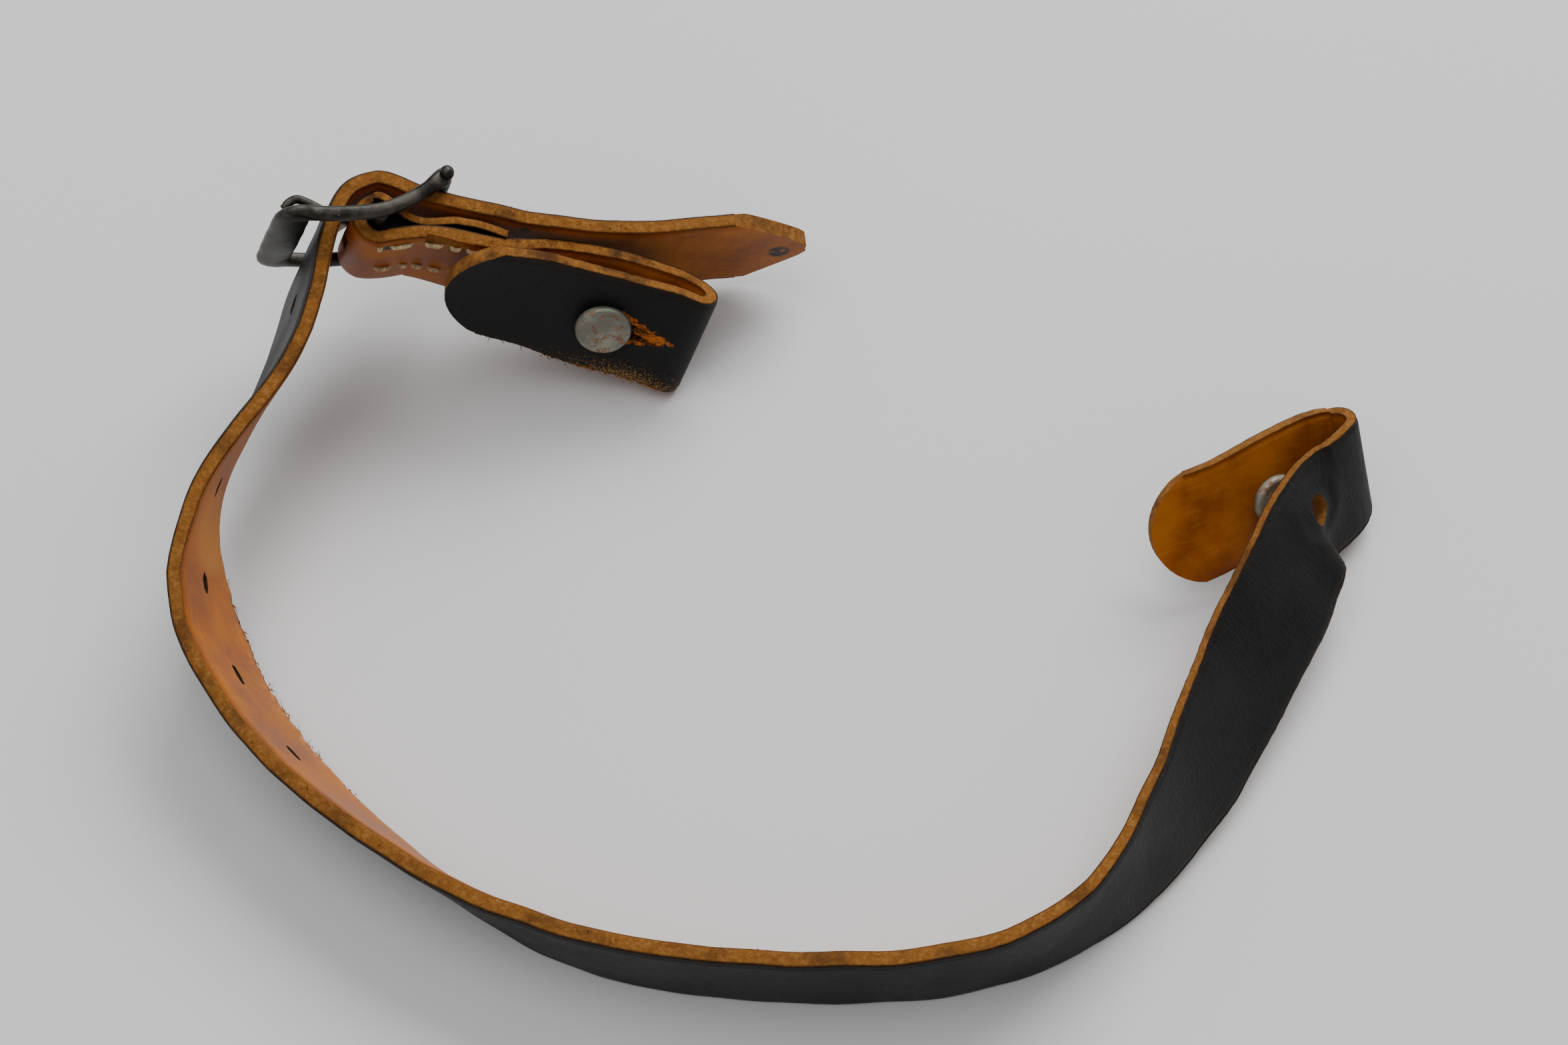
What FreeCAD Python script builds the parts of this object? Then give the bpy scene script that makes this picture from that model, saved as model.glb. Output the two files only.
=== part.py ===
"""A two-piece leather strap, buckled into an open C and standing on its lower edge.

The long strap runs from its pointed tail, through the buckle, round the C to a folded end tab
that carries a stud.  The short strap is looped round the buckle's centre bar, stitched to itself,
and its other end is folded over and buttoned on a second stud.
Millimetres, +Z up, floor at Z = 0, origin under the middle of the part's box.
"""
import FreeCAD
import Part
import Sketcher
import math
import os
from FreeCAD import Placement, Rotation, Vector

# ---------------------------------------------------------------- driving dimensions
SIZES = [
    ("strap_width", 16.0, "leather width"),
    ("hinge_gap", 0.36, "cut across a fold where its two halves turn"),
    ("hinge_margin", 0.5, "how far that cut reaches past the leather"),
    ("strap_thickness", 2.4, "leather thickness"),
    ("tail_point_length", 9.5, "taper of the long strap's tail"),
    ("tail_point_width", 1.8, "blunt end of the tail"),
    ("tab_round_length", 10.5, "length of the rounded end of each tab"),
    ("trim_margin", 3.0, "how far the trimming tools reach past the leather"),
    ("hole_pitch", 13.3, "spacing of the adjusting holes"),
    ("hole_count", 7, "adjusting holes, the tongue's included"),
    ("hole_length", 2.8, "adjusting hole, along the strap"),
    ("hole_width", 1.0, "adjusting hole, across the strap"),
    ("skived_thickness", 1.3, "short strap's thinned end behind the seam"),
    ("tongue_hole_length", 4.8, "worn hole that the tongue sits in"),
    ("tongue_hole_width", 2.4, "worn hole that the tongue sits in"),
    ("buttonhole_radius", 2.1, "hole that a stud's neck sits in"),
    ("long_buttonhole_inset", 10.2, "long strap's buttonhole, from the start of its fold"),
    ("long_buttonhole_rise", 1.4, "long strap's buttonhole, above the middle of the width"),
    ("short_buttonhole_inset", 10.4, "short tab's buttonhole, from the start of its fold"),
    ("long_stud_inset", 12.4, "long tab's stud, from the end of its fold"),
    ("slit_length", 8.0, "slit beside the short tab's buttonhole"),
    ("slit_width", 0.9, "slit beside the short tab's buttonhole"),
    ("stud_head_radius", 3.8, "button head"),
    ("stud_head_thickness", 1.0, "button head at its rim"),
    ("stud_dome", 0.35, "rise of the head's face"),
    ("stud_neck_radius", 1.6, "neck under the head"),
    ("stud_post_radius", 1.0, "post through the leather"),
    ("stud_base_radius", 3.1, "burr on the post's far end"),
    ("stud_base_thickness", 0.7, "burr on the post's far end"),
    ("stud_lift", 0.6, "space between the short stud's head and the tab under it"),
    ("burr_gap", 0.3, "burr off the middle of the curved leather"),
    ("long_neck_length", 1.2, "neck of the long tab's stud"),
    ("long_head_radius", 3.3, "button head of the long tab's stud"),
    ("frame_half_width", 10.0, "buckle, centre to side rail"),
    ("rail_size", 1.9, "side rail, both ways"),
    ("centre_bar_radius", 1.0, "bar that carries the tongue and the short strap"),
    ("back_bar_radius", 1.0, "bar that keeps the tail down"),
    ("front_bar_depth", 4.6, "front bar, along the buckle"),
    ("front_bar_thickness", 1.7, "front bar, through the buckle"),
    ("tongue_width", 1.5, "tongue, across"),
    ("tongue_thickness", 1.2, "tongue, through"),
    ("tongue_ring_radius", 1.65, "outside of the tongue's ring"),
    ("tongue_ring_width", 2.6, "tongue's ring, along its bar"),
    ("running_clearance", 0.06, "tongue's ring on its bar"),
    ("tongue_slot_width", 3.4, "slot in the short strap for the tongue"),
    ("tongue_slot_length", 12.0, "slot in the short strap for the tongue"),
    ("tongue_slot_reach", 2.3, "how far the slot passes the bar"),
    ("thread_radius", 0.35, "sewing thread"),
    ("stitch_pitch", 2.7, "stitch spacing"),
    ("stitch_length", 1.7, "stitch seen on the face"),
    ("upper_seam", 6.4, "upper stitch line, from the middle of the leather"),
    ("lower_seam", -2.4, "lower stitch line, from the middle of the leather"),
    ("seam_inset", 1.0, "first stitch from the start of the loop"),
    ("upper_stitches", 7, "stitches in the upper row"),
    ("lower_stitches", 5, "stitches in the lower row"),
]

doc = FreeCAD.newDocument("leather_strap")
sheet = doc.addObject("Spreadsheet::Sheet", "sizes")
for row, (alias, value, note) in enumerate(SIZES, start=1):
    sheet.set(f"A{row}", note)
    sheet.set(f"B{row}", str(value))
    sheet.setAlias(f"B{row}", alias)
doc.recompute()


def size(alias):
    """A driving dimension, read back from the sheet."""
    return float(sheet.get(alias))


# ---------------------------------------------------------------- courses of the straps
# A station is the middle of the leather (x, y, z) and how far its upper edge leans towards
# +X and +Y for each millimetre that it rises.
ORIGIN = Vector(0.957, -13.543, 0.0)

LONG_COURSE = [
    (2.9, 39.4, 9.6, 0.02, -0.15),
    (-9.6, 37.4, 10.8, 0.05, -0.18),
    (-20.4, 34.8, 13.2, 0.08, -0.20),
    (-30.2, 33.9, 15.8, 0.14, -0.21),
    (-38.0, 34.2, 18.0, 0.20, -0.24),
    (-45.6, 34.3, 20.9, 0.26, -0.28),
    (-50.5, 35.2, 22.6, 0.30, -0.31),
    (-55.0, 36.3, 23.5, 0.31, -0.32),
    (-58.6, 34.5, 23.9, 0.32, -0.32),
    (-60.4, 31.2, 23.6, 0.35, -0.32),
    (-61.5, 27.4, 22.7, 0.40, -0.33),
    (-62.7, 23.2, 21.2, 0.44, -0.35),
    (-64.4, 16.4, 19.4, 0.48, -0.37),
    (-67.5, 8.6, 17.8, 0.38, -0.35),
    (-71.0, 2.1, 16.7, 0.27, -0.33),
    (-73.5, -3.6, 15.4, 0.15, -0.30),
    (-74.5, -9.6, 13.8, 0.0, -0.28),
    (-74.2, -15.8, 12.0, -0.20, -0.29),
    (-72.3, -22.2, 10.5, -0.31, -0.31),
    (-67.2, -31.2, 8.9, -0.30, -0.33),
    (-60.0, -39.8, 8.0, -0.27, -0.32),
    (-50.0, -48.7, 7.97, -0.20, -0.28),
    (-38.0, -57.0, 8.06, -0.12, -0.21),
    (-23.0, -63.6, 8.06, -0.03, -0.11),
    (-6.0, -66.5, 8.06, -0.01, -0.09),
    (11.0, -66.9, 8.06, 0.01, -0.08),
    (26.0, -64.4, 8.06, -0.01, -0.05),
    (36.8, -58.7, 8.1, -0.09, 0.05),
    (44.8, -50.3, 8.5, -0.32, 0.20),
    (51.6, -39.6, 9.3, -0.66, 0.31),
    (57.2, -28.8, 10.1, -1.00, 0.41),
    (62.6, -18.6, 11.4, -1.12, 0.44),
    (66.4, -10.6, 11.8, -0.98, 0.42),
    (69.2, -5.2, 11.0, -0.70, 0.40),
    (72.2, -1.4, 9.9, -0.42, 0.39),
]
LONG_TAB_COURSE = [
    (66.4, 1.5, 10.2, -0.20, 0.52),
    (58.0, -3.9, 10.0, -0.05, 0.66),
    (47.6, -8.0, 8.6, -0.05, 0.80),
]
SHORT_TAB_COURSE = [
    (-44.5, 24.3, 21.0, 0.38, 0.05),
    (-33.8, 24.5, 17.0, 0.41, 0.22),
    (-24.2, 24.1, 12.5, 0.42, 0.33),
]
SHORT_COURSE = [
    (-24.6, 28.5, 12.4, 0.38, 0.15),
    (-34.0, 29.5, 14.8, 0.34, 0.03),
    (-39.6, 29.6, 17.0, 0.31, -0.18),
    (-45.6, 29.8, 19.6, 0.30, -0.28),
    (-50.2, 29.2, 21.4, 0.31, -0.32),
]
SHORT_BACK_COURSE = [
    (-50.5, 31.05, 22.05, 0.31, -0.32),
    (-45.9, 31.6, 20.25, 0.30, -0.28),
    (-39.0, 31.34, 17.4, 0.28, -0.23),
]

# A fold turns the leather back on its tan side, round an axis along its width.
LONG_FOLD = dict(start=(75.0, 1.9, 9.9), heading=(0.62, 0.78), lean=(-0.29, 0.39),
                 radius=2.1, turn=155.0, split=72.0)
SHORT_FOLD = dict(start=(-14.6, 22.9, 9.14), heading=(1.0, -0.25), lean=(0.42, 0.36),
                  radius=1.75, turn=178.0, split=86.0)
ARC_STEP = 24.0

# The buckle's own axes: along it from front bar to back bar, out through it, and up its bars.
BAR_CENTRE = Vector(-54.7, 30.9, 22.4)
BAR_LEAN = (0.31, -0.32)
BUCKLE_HEADING = (1.0, 0.2)
LOOP_RADIUS = 2.56
LOOP_SPAN = 88.0
RAIL_PROFILE = [(-11.6, 1.1), (-4.8, 0.2), (0.0, 0.3), (4.6, 1.4), (9.2, 4.3)]
TONGUE_PROFILE = [(0.0, 1.05), (-4.2, 3.0), (-7.6, 5.3), (-9.2, 5.9), (-11.0, 4.9)]


def across(lean, heading):
    """Unit vector across the leather: the lean, made square to the heading."""
    width = Vector(lean[0], lean[1], 1.0)
    return (width - heading * width.dot(heading)).normalize()


def fold_axes(heading, lean):
    """Heading, outward side and width direction of leather that starts to turn."""
    width = Vector(lean[0], lean[1], 1.0).normalize()
    flat = Vector(heading[0], heading[1], 0.0)
    along = (flat - width * flat.dot(width)).normalize()
    return along, along.cross(width), width


def arc_stations(centre, outward, along, radius, angles, lean):
    """Stations on an arc that starts on the outward side and turns towards along."""
    found = []
    for angle in angles:
        a = math.radians(angle)
        p = centre + outward * (radius * math.cos(a)) + along * (radius * math.sin(a))
        found.append((p.x, p.y, p.z, lean[0], lean[1]))
    return found


def fold_stations(fold):
    """Stations of a fold up to its split, and past it."""
    along, outward, _ = fold_axes(fold["heading"], fold["lean"])
    centre = Vector(*fold["start"]) - outward * fold["radius"]
    first = spread(0.0, fold["split"])
    second = spread(fold["split"], fold["turn"])[1:]
    return [arc_stations(centre, outward, along, fold["radius"], angles, fold["lean"])
            for angles in (first, second)]


def spread(low, high):
    """Angles from low to high, evenly spaced at about ARC_STEP."""
    count = max(1, round((high - low) / ARC_STEP))
    return [low + (high - low) * i / count for i in range(count + 1)]


class Course:
    """A line through stations, with a frame at each: middle, black side, width, tangent."""

    def __init__(self, stations):
        self.stations = stations
        self.points = [Vector(*s[:3]) - ORIGIN for s in stations]
        self.curve = Part.BSplineCurve()
        self.curve.interpolate(Points=self.points)
        self.edge = self.curve.toShape()
        self.params = [self.curve.parameter(p) for p in self.points]

    def frame(self, param):
        tangent = self.curve.tangent(param)[0].normalize()
        last = len(self.params) - 2
        i = max(0, min(last, sum(1 for p in self.params if p <= param) - 1))
        share = (param - self.params[i]) / (self.params[i + 1] - self.params[i])
        lean = [self.stations[i][k] * (1 - share) + self.stations[i + 1][k] * share for k in (3, 4)]
        width = across(lean, tangent)
        return self.curve.value(param), tangent.cross(width), width, tangent

    def frame_at(self, distance):
        return self.frame(self.edge.getParameterByLength(distance))

    def distance_of(self, index):
        return self.curve.length(self.params[0], self.params[index])


def placed(origin, x_axis, y_axis):
    """Placement whose X and Y lie along the two given directions."""
    return Placement(origin, Rotation(x_axis, y_axis, x_axis.cross(y_axis), "XYZ"))


# ---------------------------------------------------------------- leather
def section_sketch(name, frame, skive):
    """The leather's rectangular section, centred on its course; skive thins it, 0 to 1."""
    middle, normal, width, _ = frame
    sketch = doc.addObject("Sketcher::SketchObject", name)
    sketch.Placement = placed(middle, normal, width)
    a, b = size("strap_thickness") / 2, size("strap_width") / 2
    corners = [Vector(-a, -b, 0), Vector(a, -b, 0), Vector(a, b, 0), Vector(-a, b, 0)]
    for i in range(4):
        sketch.addGeometry(Part.LineSegment(corners[i], corners[(i + 1) % 4]))
    constraint = Sketcher.Constraint
    for i in range(4):
        sketch.addConstraint(constraint("Coincident", i, 2, (i + 1) % 4, 1))
        sketch.addConstraint(constraint("Horizontal" if i % 2 == 0 else "Vertical", i))
    sketch.addConstraint(constraint("Symmetric", 0, 1, 2, 1, -1, 1))
    thickness = sketch.addConstraint(constraint("DistanceX", 0, 1, 0, 2, 2 * a))
    height = sketch.addConstraint(constraint("DistanceY", 1, 1, 1, 2, 2 * b))
    sketch.setExpression(f"Constraints[{thickness}]",
                         f"sizes.strap_thickness * {1 - skive} + sizes.skived_thickness * {skive}")
    sketch.setExpression(f"Constraints[{height}]", "sizes.strap_width")
    return sketch


def leather(name, course, first, last, full=None, thin=None):
    """Solid leather through the stations first to last of a course, thinned from full to thin."""
    loft = doc.addObject("Part::Loft", name)
    params = [course.params[first]]
    for i in range(first, last):
        params += [(course.params[i] + course.params[i + 1]) / 2, course.params[i + 1]]
    skives = [0.0] * len(params)
    if full is not None:
        start, end = course.params[full], course.params[thin]
        skives = [min(1.0, max(0.0, (param - start) / (end - start))) for param in params]
    loft.Sections = [section_sketch(f"{name}_section_{i}", course.frame(param), skive)
                     for i, (param, skive) in enumerate(zip(params, skives))]
    loft.Solid = True
    loft.Ruled = True
    return loft


def prism(name, place, outline, depth, lift):
    """Closed outline in the placement's XY plane, pushed depth along its Z from lift."""
    sketch = doc.addObject("Sketcher::SketchObject", f"{name}_outline")
    sketch.Placement = place
    corners = [Vector(x, y, 0) for x, y in outline]
    for i, corner in enumerate(corners):
        sketch.addGeometry(Part.LineSegment(corner, corners[(i + 1) % len(corners)]))
    for i in range(len(corners)):
        sketch.addConstraint(Sketcher.Constraint("Coincident", i, 2, (i + 1) % len(corners), 1))
    block = doc.addObject("Part::Extrusion", name)
    block.Base = sketch
    block.DirMode = "Normal"
    block.LengthFwd = depth + lift
    block.LengthRev = -lift
    block.Solid = True
    return block


def oval(name, place, along, across_half, depth):
    """Elliptic prism with its longer half-axis along the placement's X, centred on its plane."""
    ellipse = doc.addObject("Part::Ellipse", f"{name}_outline")
    ellipse.setExpression("MajorRadius", along)
    ellipse.setExpression("MinorRadius", across_half)
    ellipse.Placement = place
    block = doc.addObject("Part::Extrusion", name)
    block.Base = ellipse
    block.DirMode = "Normal"
    block.Symmetric = True
    block.setExpression("LengthFwd", depth)
    block.Solid = True
    return block


def box(name, place, lengths, centre):
    """Box with sheet expressions for its lengths; centre says where it sits on the placement."""
    block = doc.addObject("Part::Box", name)
    for prop, expression in zip(("Length", "Width", "Height"), lengths):
        block.setExpression(prop, expression)
    doc.recompute()
    shift = Vector(centre[0] - block.Length.Value / 2, centre[1] - block.Width.Value / 2,
                   centre[2] - block.Height.Value / 2)
    block.Placement = place.multiply(Placement(shift, Rotation()))
    return block


def rod(name, place, radius, length, start):
    """Cylinder along the placement's Z, from start."""
    block = doc.addObject("Part::Cylinder", name)
    block.setExpression("Radius", radius)
    block.setExpression("Height", length)
    block.Placement = place.multiply(Placement(Vector(0, 0, start), Rotation()))
    return block


def cut(name, base, tools):
    """The base with every tool taken out of it."""
    whole = tools[0]
    if len(tools) > 1:
        whole = doc.addObject("Part::MultiFuse", f"{name}_tools")
        whole.Shapes = tools
    result = doc.addObject("Part::Cut", name)
    result.Base = base
    result.Tool = whole
    return result


def fuse(name, shapes):
    result = doc.addObject("Part::MultiFuse", name)
    result.Shapes = shapes
    return result


def face_place(frame):
    """Placement on the leather: X along it, Y across it, Z through it to the tan side."""
    middle, _, width, tangent = frame
    return placed(middle, tangent, width)


def round_end(name, frame, towards_tip):
    """Tool that rounds a tab: a block over its end with an ellipse left out of it."""
    place = face_place(frame)
    reach = size("tab_round_length") + size("trim_margin")
    block = box(f"{name}_block", place,
                ("sizes.tab_round_length + sizes.trim_margin", "sizes.strap_width + 2 * sizes.trim_margin",
                 "sizes.strap_thickness + 2 * sizes.trim_margin"), (towards_tip * reach / 2, 0.0, 0.0))
    kept = oval(f"{name}_kept", place, "sizes.tab_round_length", "sizes.strap_width / 2",
                "2 * sizes.strap_thickness + 4 * sizes.trim_margin")
    return cut(name, block, [kept])


def hinge_cut(name, frame):
    """Thin block across a fold, square to the leather."""
    return box(name, face_place(frame),
               ("sizes.hinge_gap", "sizes.strap_width + 2 * sizes.trim_margin",
                "sizes.strap_thickness + 2 * sizes.hinge_margin"), (0.0, 0.0, 0.0))


# ---------------------------------------------------------------- courses made
long_before, long_after = fold_stations(LONG_FOLD)
short_before, short_after = fold_stations(SHORT_FOLD)

bar_width = Vector(BAR_LEAN[0], BAR_LEAN[1], 1.0).normalize()
heading = Vector(BUCKLE_HEADING[0], BUCKLE_HEADING[1], 0.0)
bar_along = (heading - bar_width * heading.dot(bar_width)).normalize()
bar_out = bar_width.cross(bar_along)


def bar_point(u, v, w):
    """A point of the buckle: along it, out through it and up its bars."""
    return BAR_CENTRE - ORIGIN + bar_along * u + bar_out * v + bar_width * w


loop_angles = spread(-LOOP_SPAN, LOOP_SPAN)
loop_stations = arc_stations(BAR_CENTRE, bar_along * -1, bar_out, LOOP_RADIUS, loop_angles, BAR_LEAN)

long_course = Course(LONG_COURSE + long_before + long_after + LONG_TAB_COURSE)
long_split = len(LONG_COURSE) + len(long_before) - 1
short_course = Course(SHORT_TAB_COURSE + short_before + short_after + SHORT_COURSE
                      + loop_stations + SHORT_BACK_COURSE)
short_split = len(SHORT_TAB_COURSE) + len(short_before) - 1

# ---------------------------------------------------------------- long strap
long_body = leather("long_strap_leather", long_course, 0, long_split)

tail = face_place(long_course.frame(0.0))
half, point, taper = size("strap_width") / 2, size("tail_point_width") / 2, size("tail_point_length")
margin = size("trim_margin")
depth = size("strap_thickness") + 2 * margin
long_tools = []
for side in (1, -1):
    outline = [(-margin, side * point), (0.0, side * point), (taper, side * half),
               (taper, side * (half + margin)), (-margin, side * (half + margin))]
    long_tools.append(prism(f"tail_trim_{side + 1}", tail, outline, depth, -depth / 2))
tongue_crossing = bar_point(*TONGUE_PROFILE[1], 0.0)
hole_first = long_course.curve.length(0.0, long_course.curve.parameter(tongue_crossing))
for k in range(int(size("hole_count"))):
    frame = long_course.frame_at(hole_first + k * size("hole_pitch"))
    if k == 0:
        frame = (tongue_crossing,) + frame[1:]
    kind = "tongue_hole" if k == 0 else "hole"
    long_tools.append(oval(f"adjusting_hole_{k}", face_place(frame), f"sizes.{kind}_length / 2",
                           f"sizes.{kind}_width / 2", "sizes.strap_thickness + 2 * sizes.trim_margin"))
long_fold_start = long_course.distance_of(len(LONG_COURSE))
long_hole = long_course.frame_at(long_fold_start - size("long_buttonhole_inset"))
long_hole = (long_hole[0] + long_hole[2] * size("long_buttonhole_rise"),) + long_hole[1:]
long_tools.append(rod("long_buttonhole", face_place(long_hole), "sizes.buttonhole_radius",
                      "sizes.strap_thickness + 2 * sizes.trim_margin", -depth / 2))
long_hinge = long_course.frame(long_course.params[long_split])
long_tools.append(hinge_cut("long_strap_hinge_cut", long_hinge))
long_strap = cut("long_strap", long_body, long_tools)

# ---------------------------------------------------------------- long strap's end tab and its stud
long_tip = len(long_course.params) - 1
tab_body = leather("long_tab_leather", long_course, long_split, long_tip)
tab_length = long_course.distance_of(long_tip)
round_frame = long_course.frame_at(tab_length - size("tab_round_length"))
fold_end = long_course.distance_of(long_split + len(long_after))
long_stud_frame = long_course.frame_at(fold_end + size("long_stud_inset"))


def stud(name, middle, outward, width, top, head_radius):
    """Button on a post: its head's underside is top above the middle of the leather it is set in."""
    place = placed(middle, width, outward.cross(width))
    neck, post, head = size("stud_neck_radius"), size("stud_post_radius"), size(head_radius)
    half_leather = size("strap_thickness") / 2
    rim, dome = size("stud_head_thickness"), size("stud_dome")
    foot = half_leather + size("burr_gap")
    turned = doc.addObject("Part::Feature", f"{name}_head")
    profile = [Vector(0, 0, -foot), Vector(post, 0, -foot), Vector(post, 0, foot), Vector(neck, 0, foot),
               Vector(neck, 0, top), Vector(head, 0, top), Vector(head, 0, top + rim),
               Vector(head * 0.6, 0, top + rim + dome), Vector(0, 0, top + rim + dome)]
    turned.Shape = Part.Face(Part.makePolygon(profile + [profile[0]])).revolve(
        Vector(0, 0, 0), Vector(0, 0, 1), 360)
    turned.Placement = place
    base = rod(f"{name}_base", place, "sizes.stud_base_radius", "sizes.stud_base_thickness",
               -foot - size("stud_base_thickness"))
    return turned, base, place


middle, normal, width, _ = long_stud_frame
long_head, long_base, long_stud_place = stud(
    "long_stud", middle, normal * -1, width, size("strap_thickness") / 2 + size("long_neck_length"),
    "long_head_radius")
long_post_hole = rod("long_post_hole", long_stud_place, "sizes.stud_post_radius",
                     "sizes.strap_thickness * 2", -size("strap_thickness"))
long_tab = cut("long_strap_tab", tab_body,
               [round_end("long_tab_round", round_frame, 1.0), long_post_hole,
                hinge_cut("long_tab_hinge_cut", long_hinge)])

# ---------------------------------------------------------------- short strap, its tab and its stud
short_end = len(short_course.params) - 1
short_tab_body = leather("short_tab_leather", short_course, 0, short_split)
loop_start = short_split + len(short_after) + len(SHORT_COURSE) + 1
loop_end = loop_start + len(loop_stations) - 1
SKIVE_DELAY = 2
short_body = leather("short_strap_leather", short_course, short_split, short_end,
                     loop_start + SKIVE_DELAY, loop_end)
short_round_frame = short_course.frame_at(size("tab_round_length"))
short_fold_start = short_course.distance_of(len(SHORT_TAB_COURSE))
short_hole = short_course.frame_at(short_fold_start - size("short_buttonhole_inset"))
short_hole_place = face_place(short_hole)
short_hinge = short_course.frame(short_course.params[short_split])
slit = box("short_slit", short_hole_place,
           ("sizes.slit_length", "sizes.slit_width", "sizes.strap_thickness * 3"),
           (size("slit_length") / 2, 0.0, 0.0))
keyhole = rod("short_buttonhole", short_hole_place, "sizes.buttonhole_radius",
              "sizes.strap_thickness * 3", -1.5 * size("strap_thickness"))
short_tab = cut("short_strap_tab", short_tab_body,
                [round_end("short_tab_round", short_round_frame, -1.0), keyhole, slit,
                 hinge_cut("short_tab_hinge_cut", short_hinge)])

# The stud stands on the front layer, square to the tab that is buttoned over it.
hole_middle, hole_normal, hole_width, _ = short_hole
front_start = short_course.distance_of(short_split + len(short_after))
front_end = short_course.distance_of(loop_start - 1)


def off_axis(distance):
    """How far the front layer's middle line is from the buttonhole's axis."""
    away = short_course.frame_at(distance)[0] - hole_middle
    return (away - hole_normal * away.dot(hole_normal)).Length


front_steps = [front_start + (front_end - front_start) * i / 80 for i in range(81)]
seat = short_course.frame_at(min(front_steps, key=off_axis))
drop = (hole_middle - seat[0]).dot(seat[1]) / hole_normal.dot(seat[1])
stud_middle = hole_middle - hole_normal * drop
print(f"short stud: {drop:.2f} mm from the tab's middle to the front layer's")
short_head, short_base, short_stud_place = stud(
    "short_stud", stud_middle, hole_normal, hole_width,
    abs(drop) + size("strap_thickness") / 2 + size("stud_lift"), "stud_head_radius")
short_post_hole = rod("short_post_hole", short_stud_place, "sizes.stud_post_radius",
                      "sizes.strap_thickness * 2", -size("strap_thickness"))
bar_place = placed(BAR_CENTRE - ORIGIN, bar_along, bar_out)
slot = box("tongue_slot", bar_place,
           ("sizes.tongue_slot_length", "4 * sizes.strap_thickness", "sizes.tongue_slot_width"),
           (size("tongue_slot_reach") - size("tongue_slot_length") / 2, 0.0, 0.0))

# ---------------------------------------------------------------- stitching
def stitch(name, frame, offset):
    """One stitch: a spindle of thread lying half sunk along the tan face."""
    middle, normal, width, tangent = frame
    centre = middle + width * offset - normal * (size("strap_thickness") / 2)
    spindle = doc.addObject("Part::Ellipsoid", name)
    spindle.setExpression("Radius1", "sizes.stitch_length / 2")
    spindle.setExpression("Radius2", "sizes.thread_radius")
    spindle.setExpression("Radius3", "sizes.thread_radius")
    spindle.Placement = placed(centre, width, tangent.cross(width))
    return spindle


stitch_rows = {}
seam_end = short_course.distance_of(loop_start) - size("seam_inset")
for row_name, row in (("stitching_upper", "upper"), ("stitching_lower", "lower")):
    offset = size(f"{row}_seam")
    stitches = []
    for k in range(int(size(f"{row}_stitches"))):
        at = short_course.frame_at(seam_end - k * size("stitch_pitch"))
        stitches.append(stitch(f"{row_name}_{k}", at, offset))
    stitch_rows[row_name] = fuse(row_name, stitches)
short_strap = cut("short_strap", short_body,
                  [slot, short_post_hole, hinge_cut("short_strap_hinge_cut", short_hinge)])

# ---------------------------------------------------------------- buckle
def band(name, profile, thickness, width, middle_w):
    """Bent strip that follows a profile in the buckle's side view."""
    upper = [(u, v + thickness / 2) for u, v in profile]
    lower = [(u, v - thickness / 2) for u, v in reversed(profile)]
    return prism(name, bar_place, upper + lower, width, middle_w - width / 2)


rail, half_frame = size("rail_size"), size("frame_half_width")
bar_length = "2 * sizes.frame_half_width"
front_u, front_v = RAIL_PROFILE[0]
back_u, back_v = RAIL_PROFILE[-1]
frame_parts = [band("upper_rail", RAIL_PROFILE, rail, rail, half_frame),
               band("lower_rail", RAIL_PROFILE, rail, rail, -half_frame),
               rod("centre_bar", bar_place, "sizes.centre_bar_radius", bar_length, -half_frame)]
back_place = bar_place.multiply(Placement(Vector(back_u, back_v, 0), Rotation()))
frame_parts.append(rod("back_bar", back_place, "sizes.back_bar_radius",
                       "2 * sizes.frame_half_width + 2 * sizes.rail_size", -half_frame - rail))
frame_parts.append(box("front_bar", bar_place, ("sizes.front_bar_depth", "sizes.front_bar_thickness",
                                                "2 * sizes.frame_half_width + sizes.rail_size"),
                       (front_u, front_v, 0.0)))
buckle = fuse("buckle_frame", frame_parts)

ring = rod("tongue_ring", bar_place, "sizes.tongue_ring_radius", "sizes.tongue_ring_width",
           -size("tongue_ring_width") / 2)
arm = band("tongue_arm", TONGUE_PROFILE, size("tongue_thickness"), size("tongue_width"), 0.0)
bore = rod("tongue_bore", bar_place, "sizes.centre_bar_radius + sizes.running_clearance",
           "2 * sizes.tongue_ring_width", -size("tongue_ring_width"))
tongue = cut("buckle_tongue", fuse("tongue_blank", [ring, arm]), [bore])

# ---------------------------------------------------------------- axes, for the joints
for name, frame in (("long fold", long_hinge), ("short fold", short_hinge)):
    middle, normal, width, tangent = frame
    print(f"{name} axis at {middle + normal * (size('strap_thickness') / 2)} along {width}")
print(f"bar at {bar_point(0.0, 0.0, 0.0)} along {bar_width}")
print(f"long buttonhole at {long_hole[0]} facing {long_hole[1]}")

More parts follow.
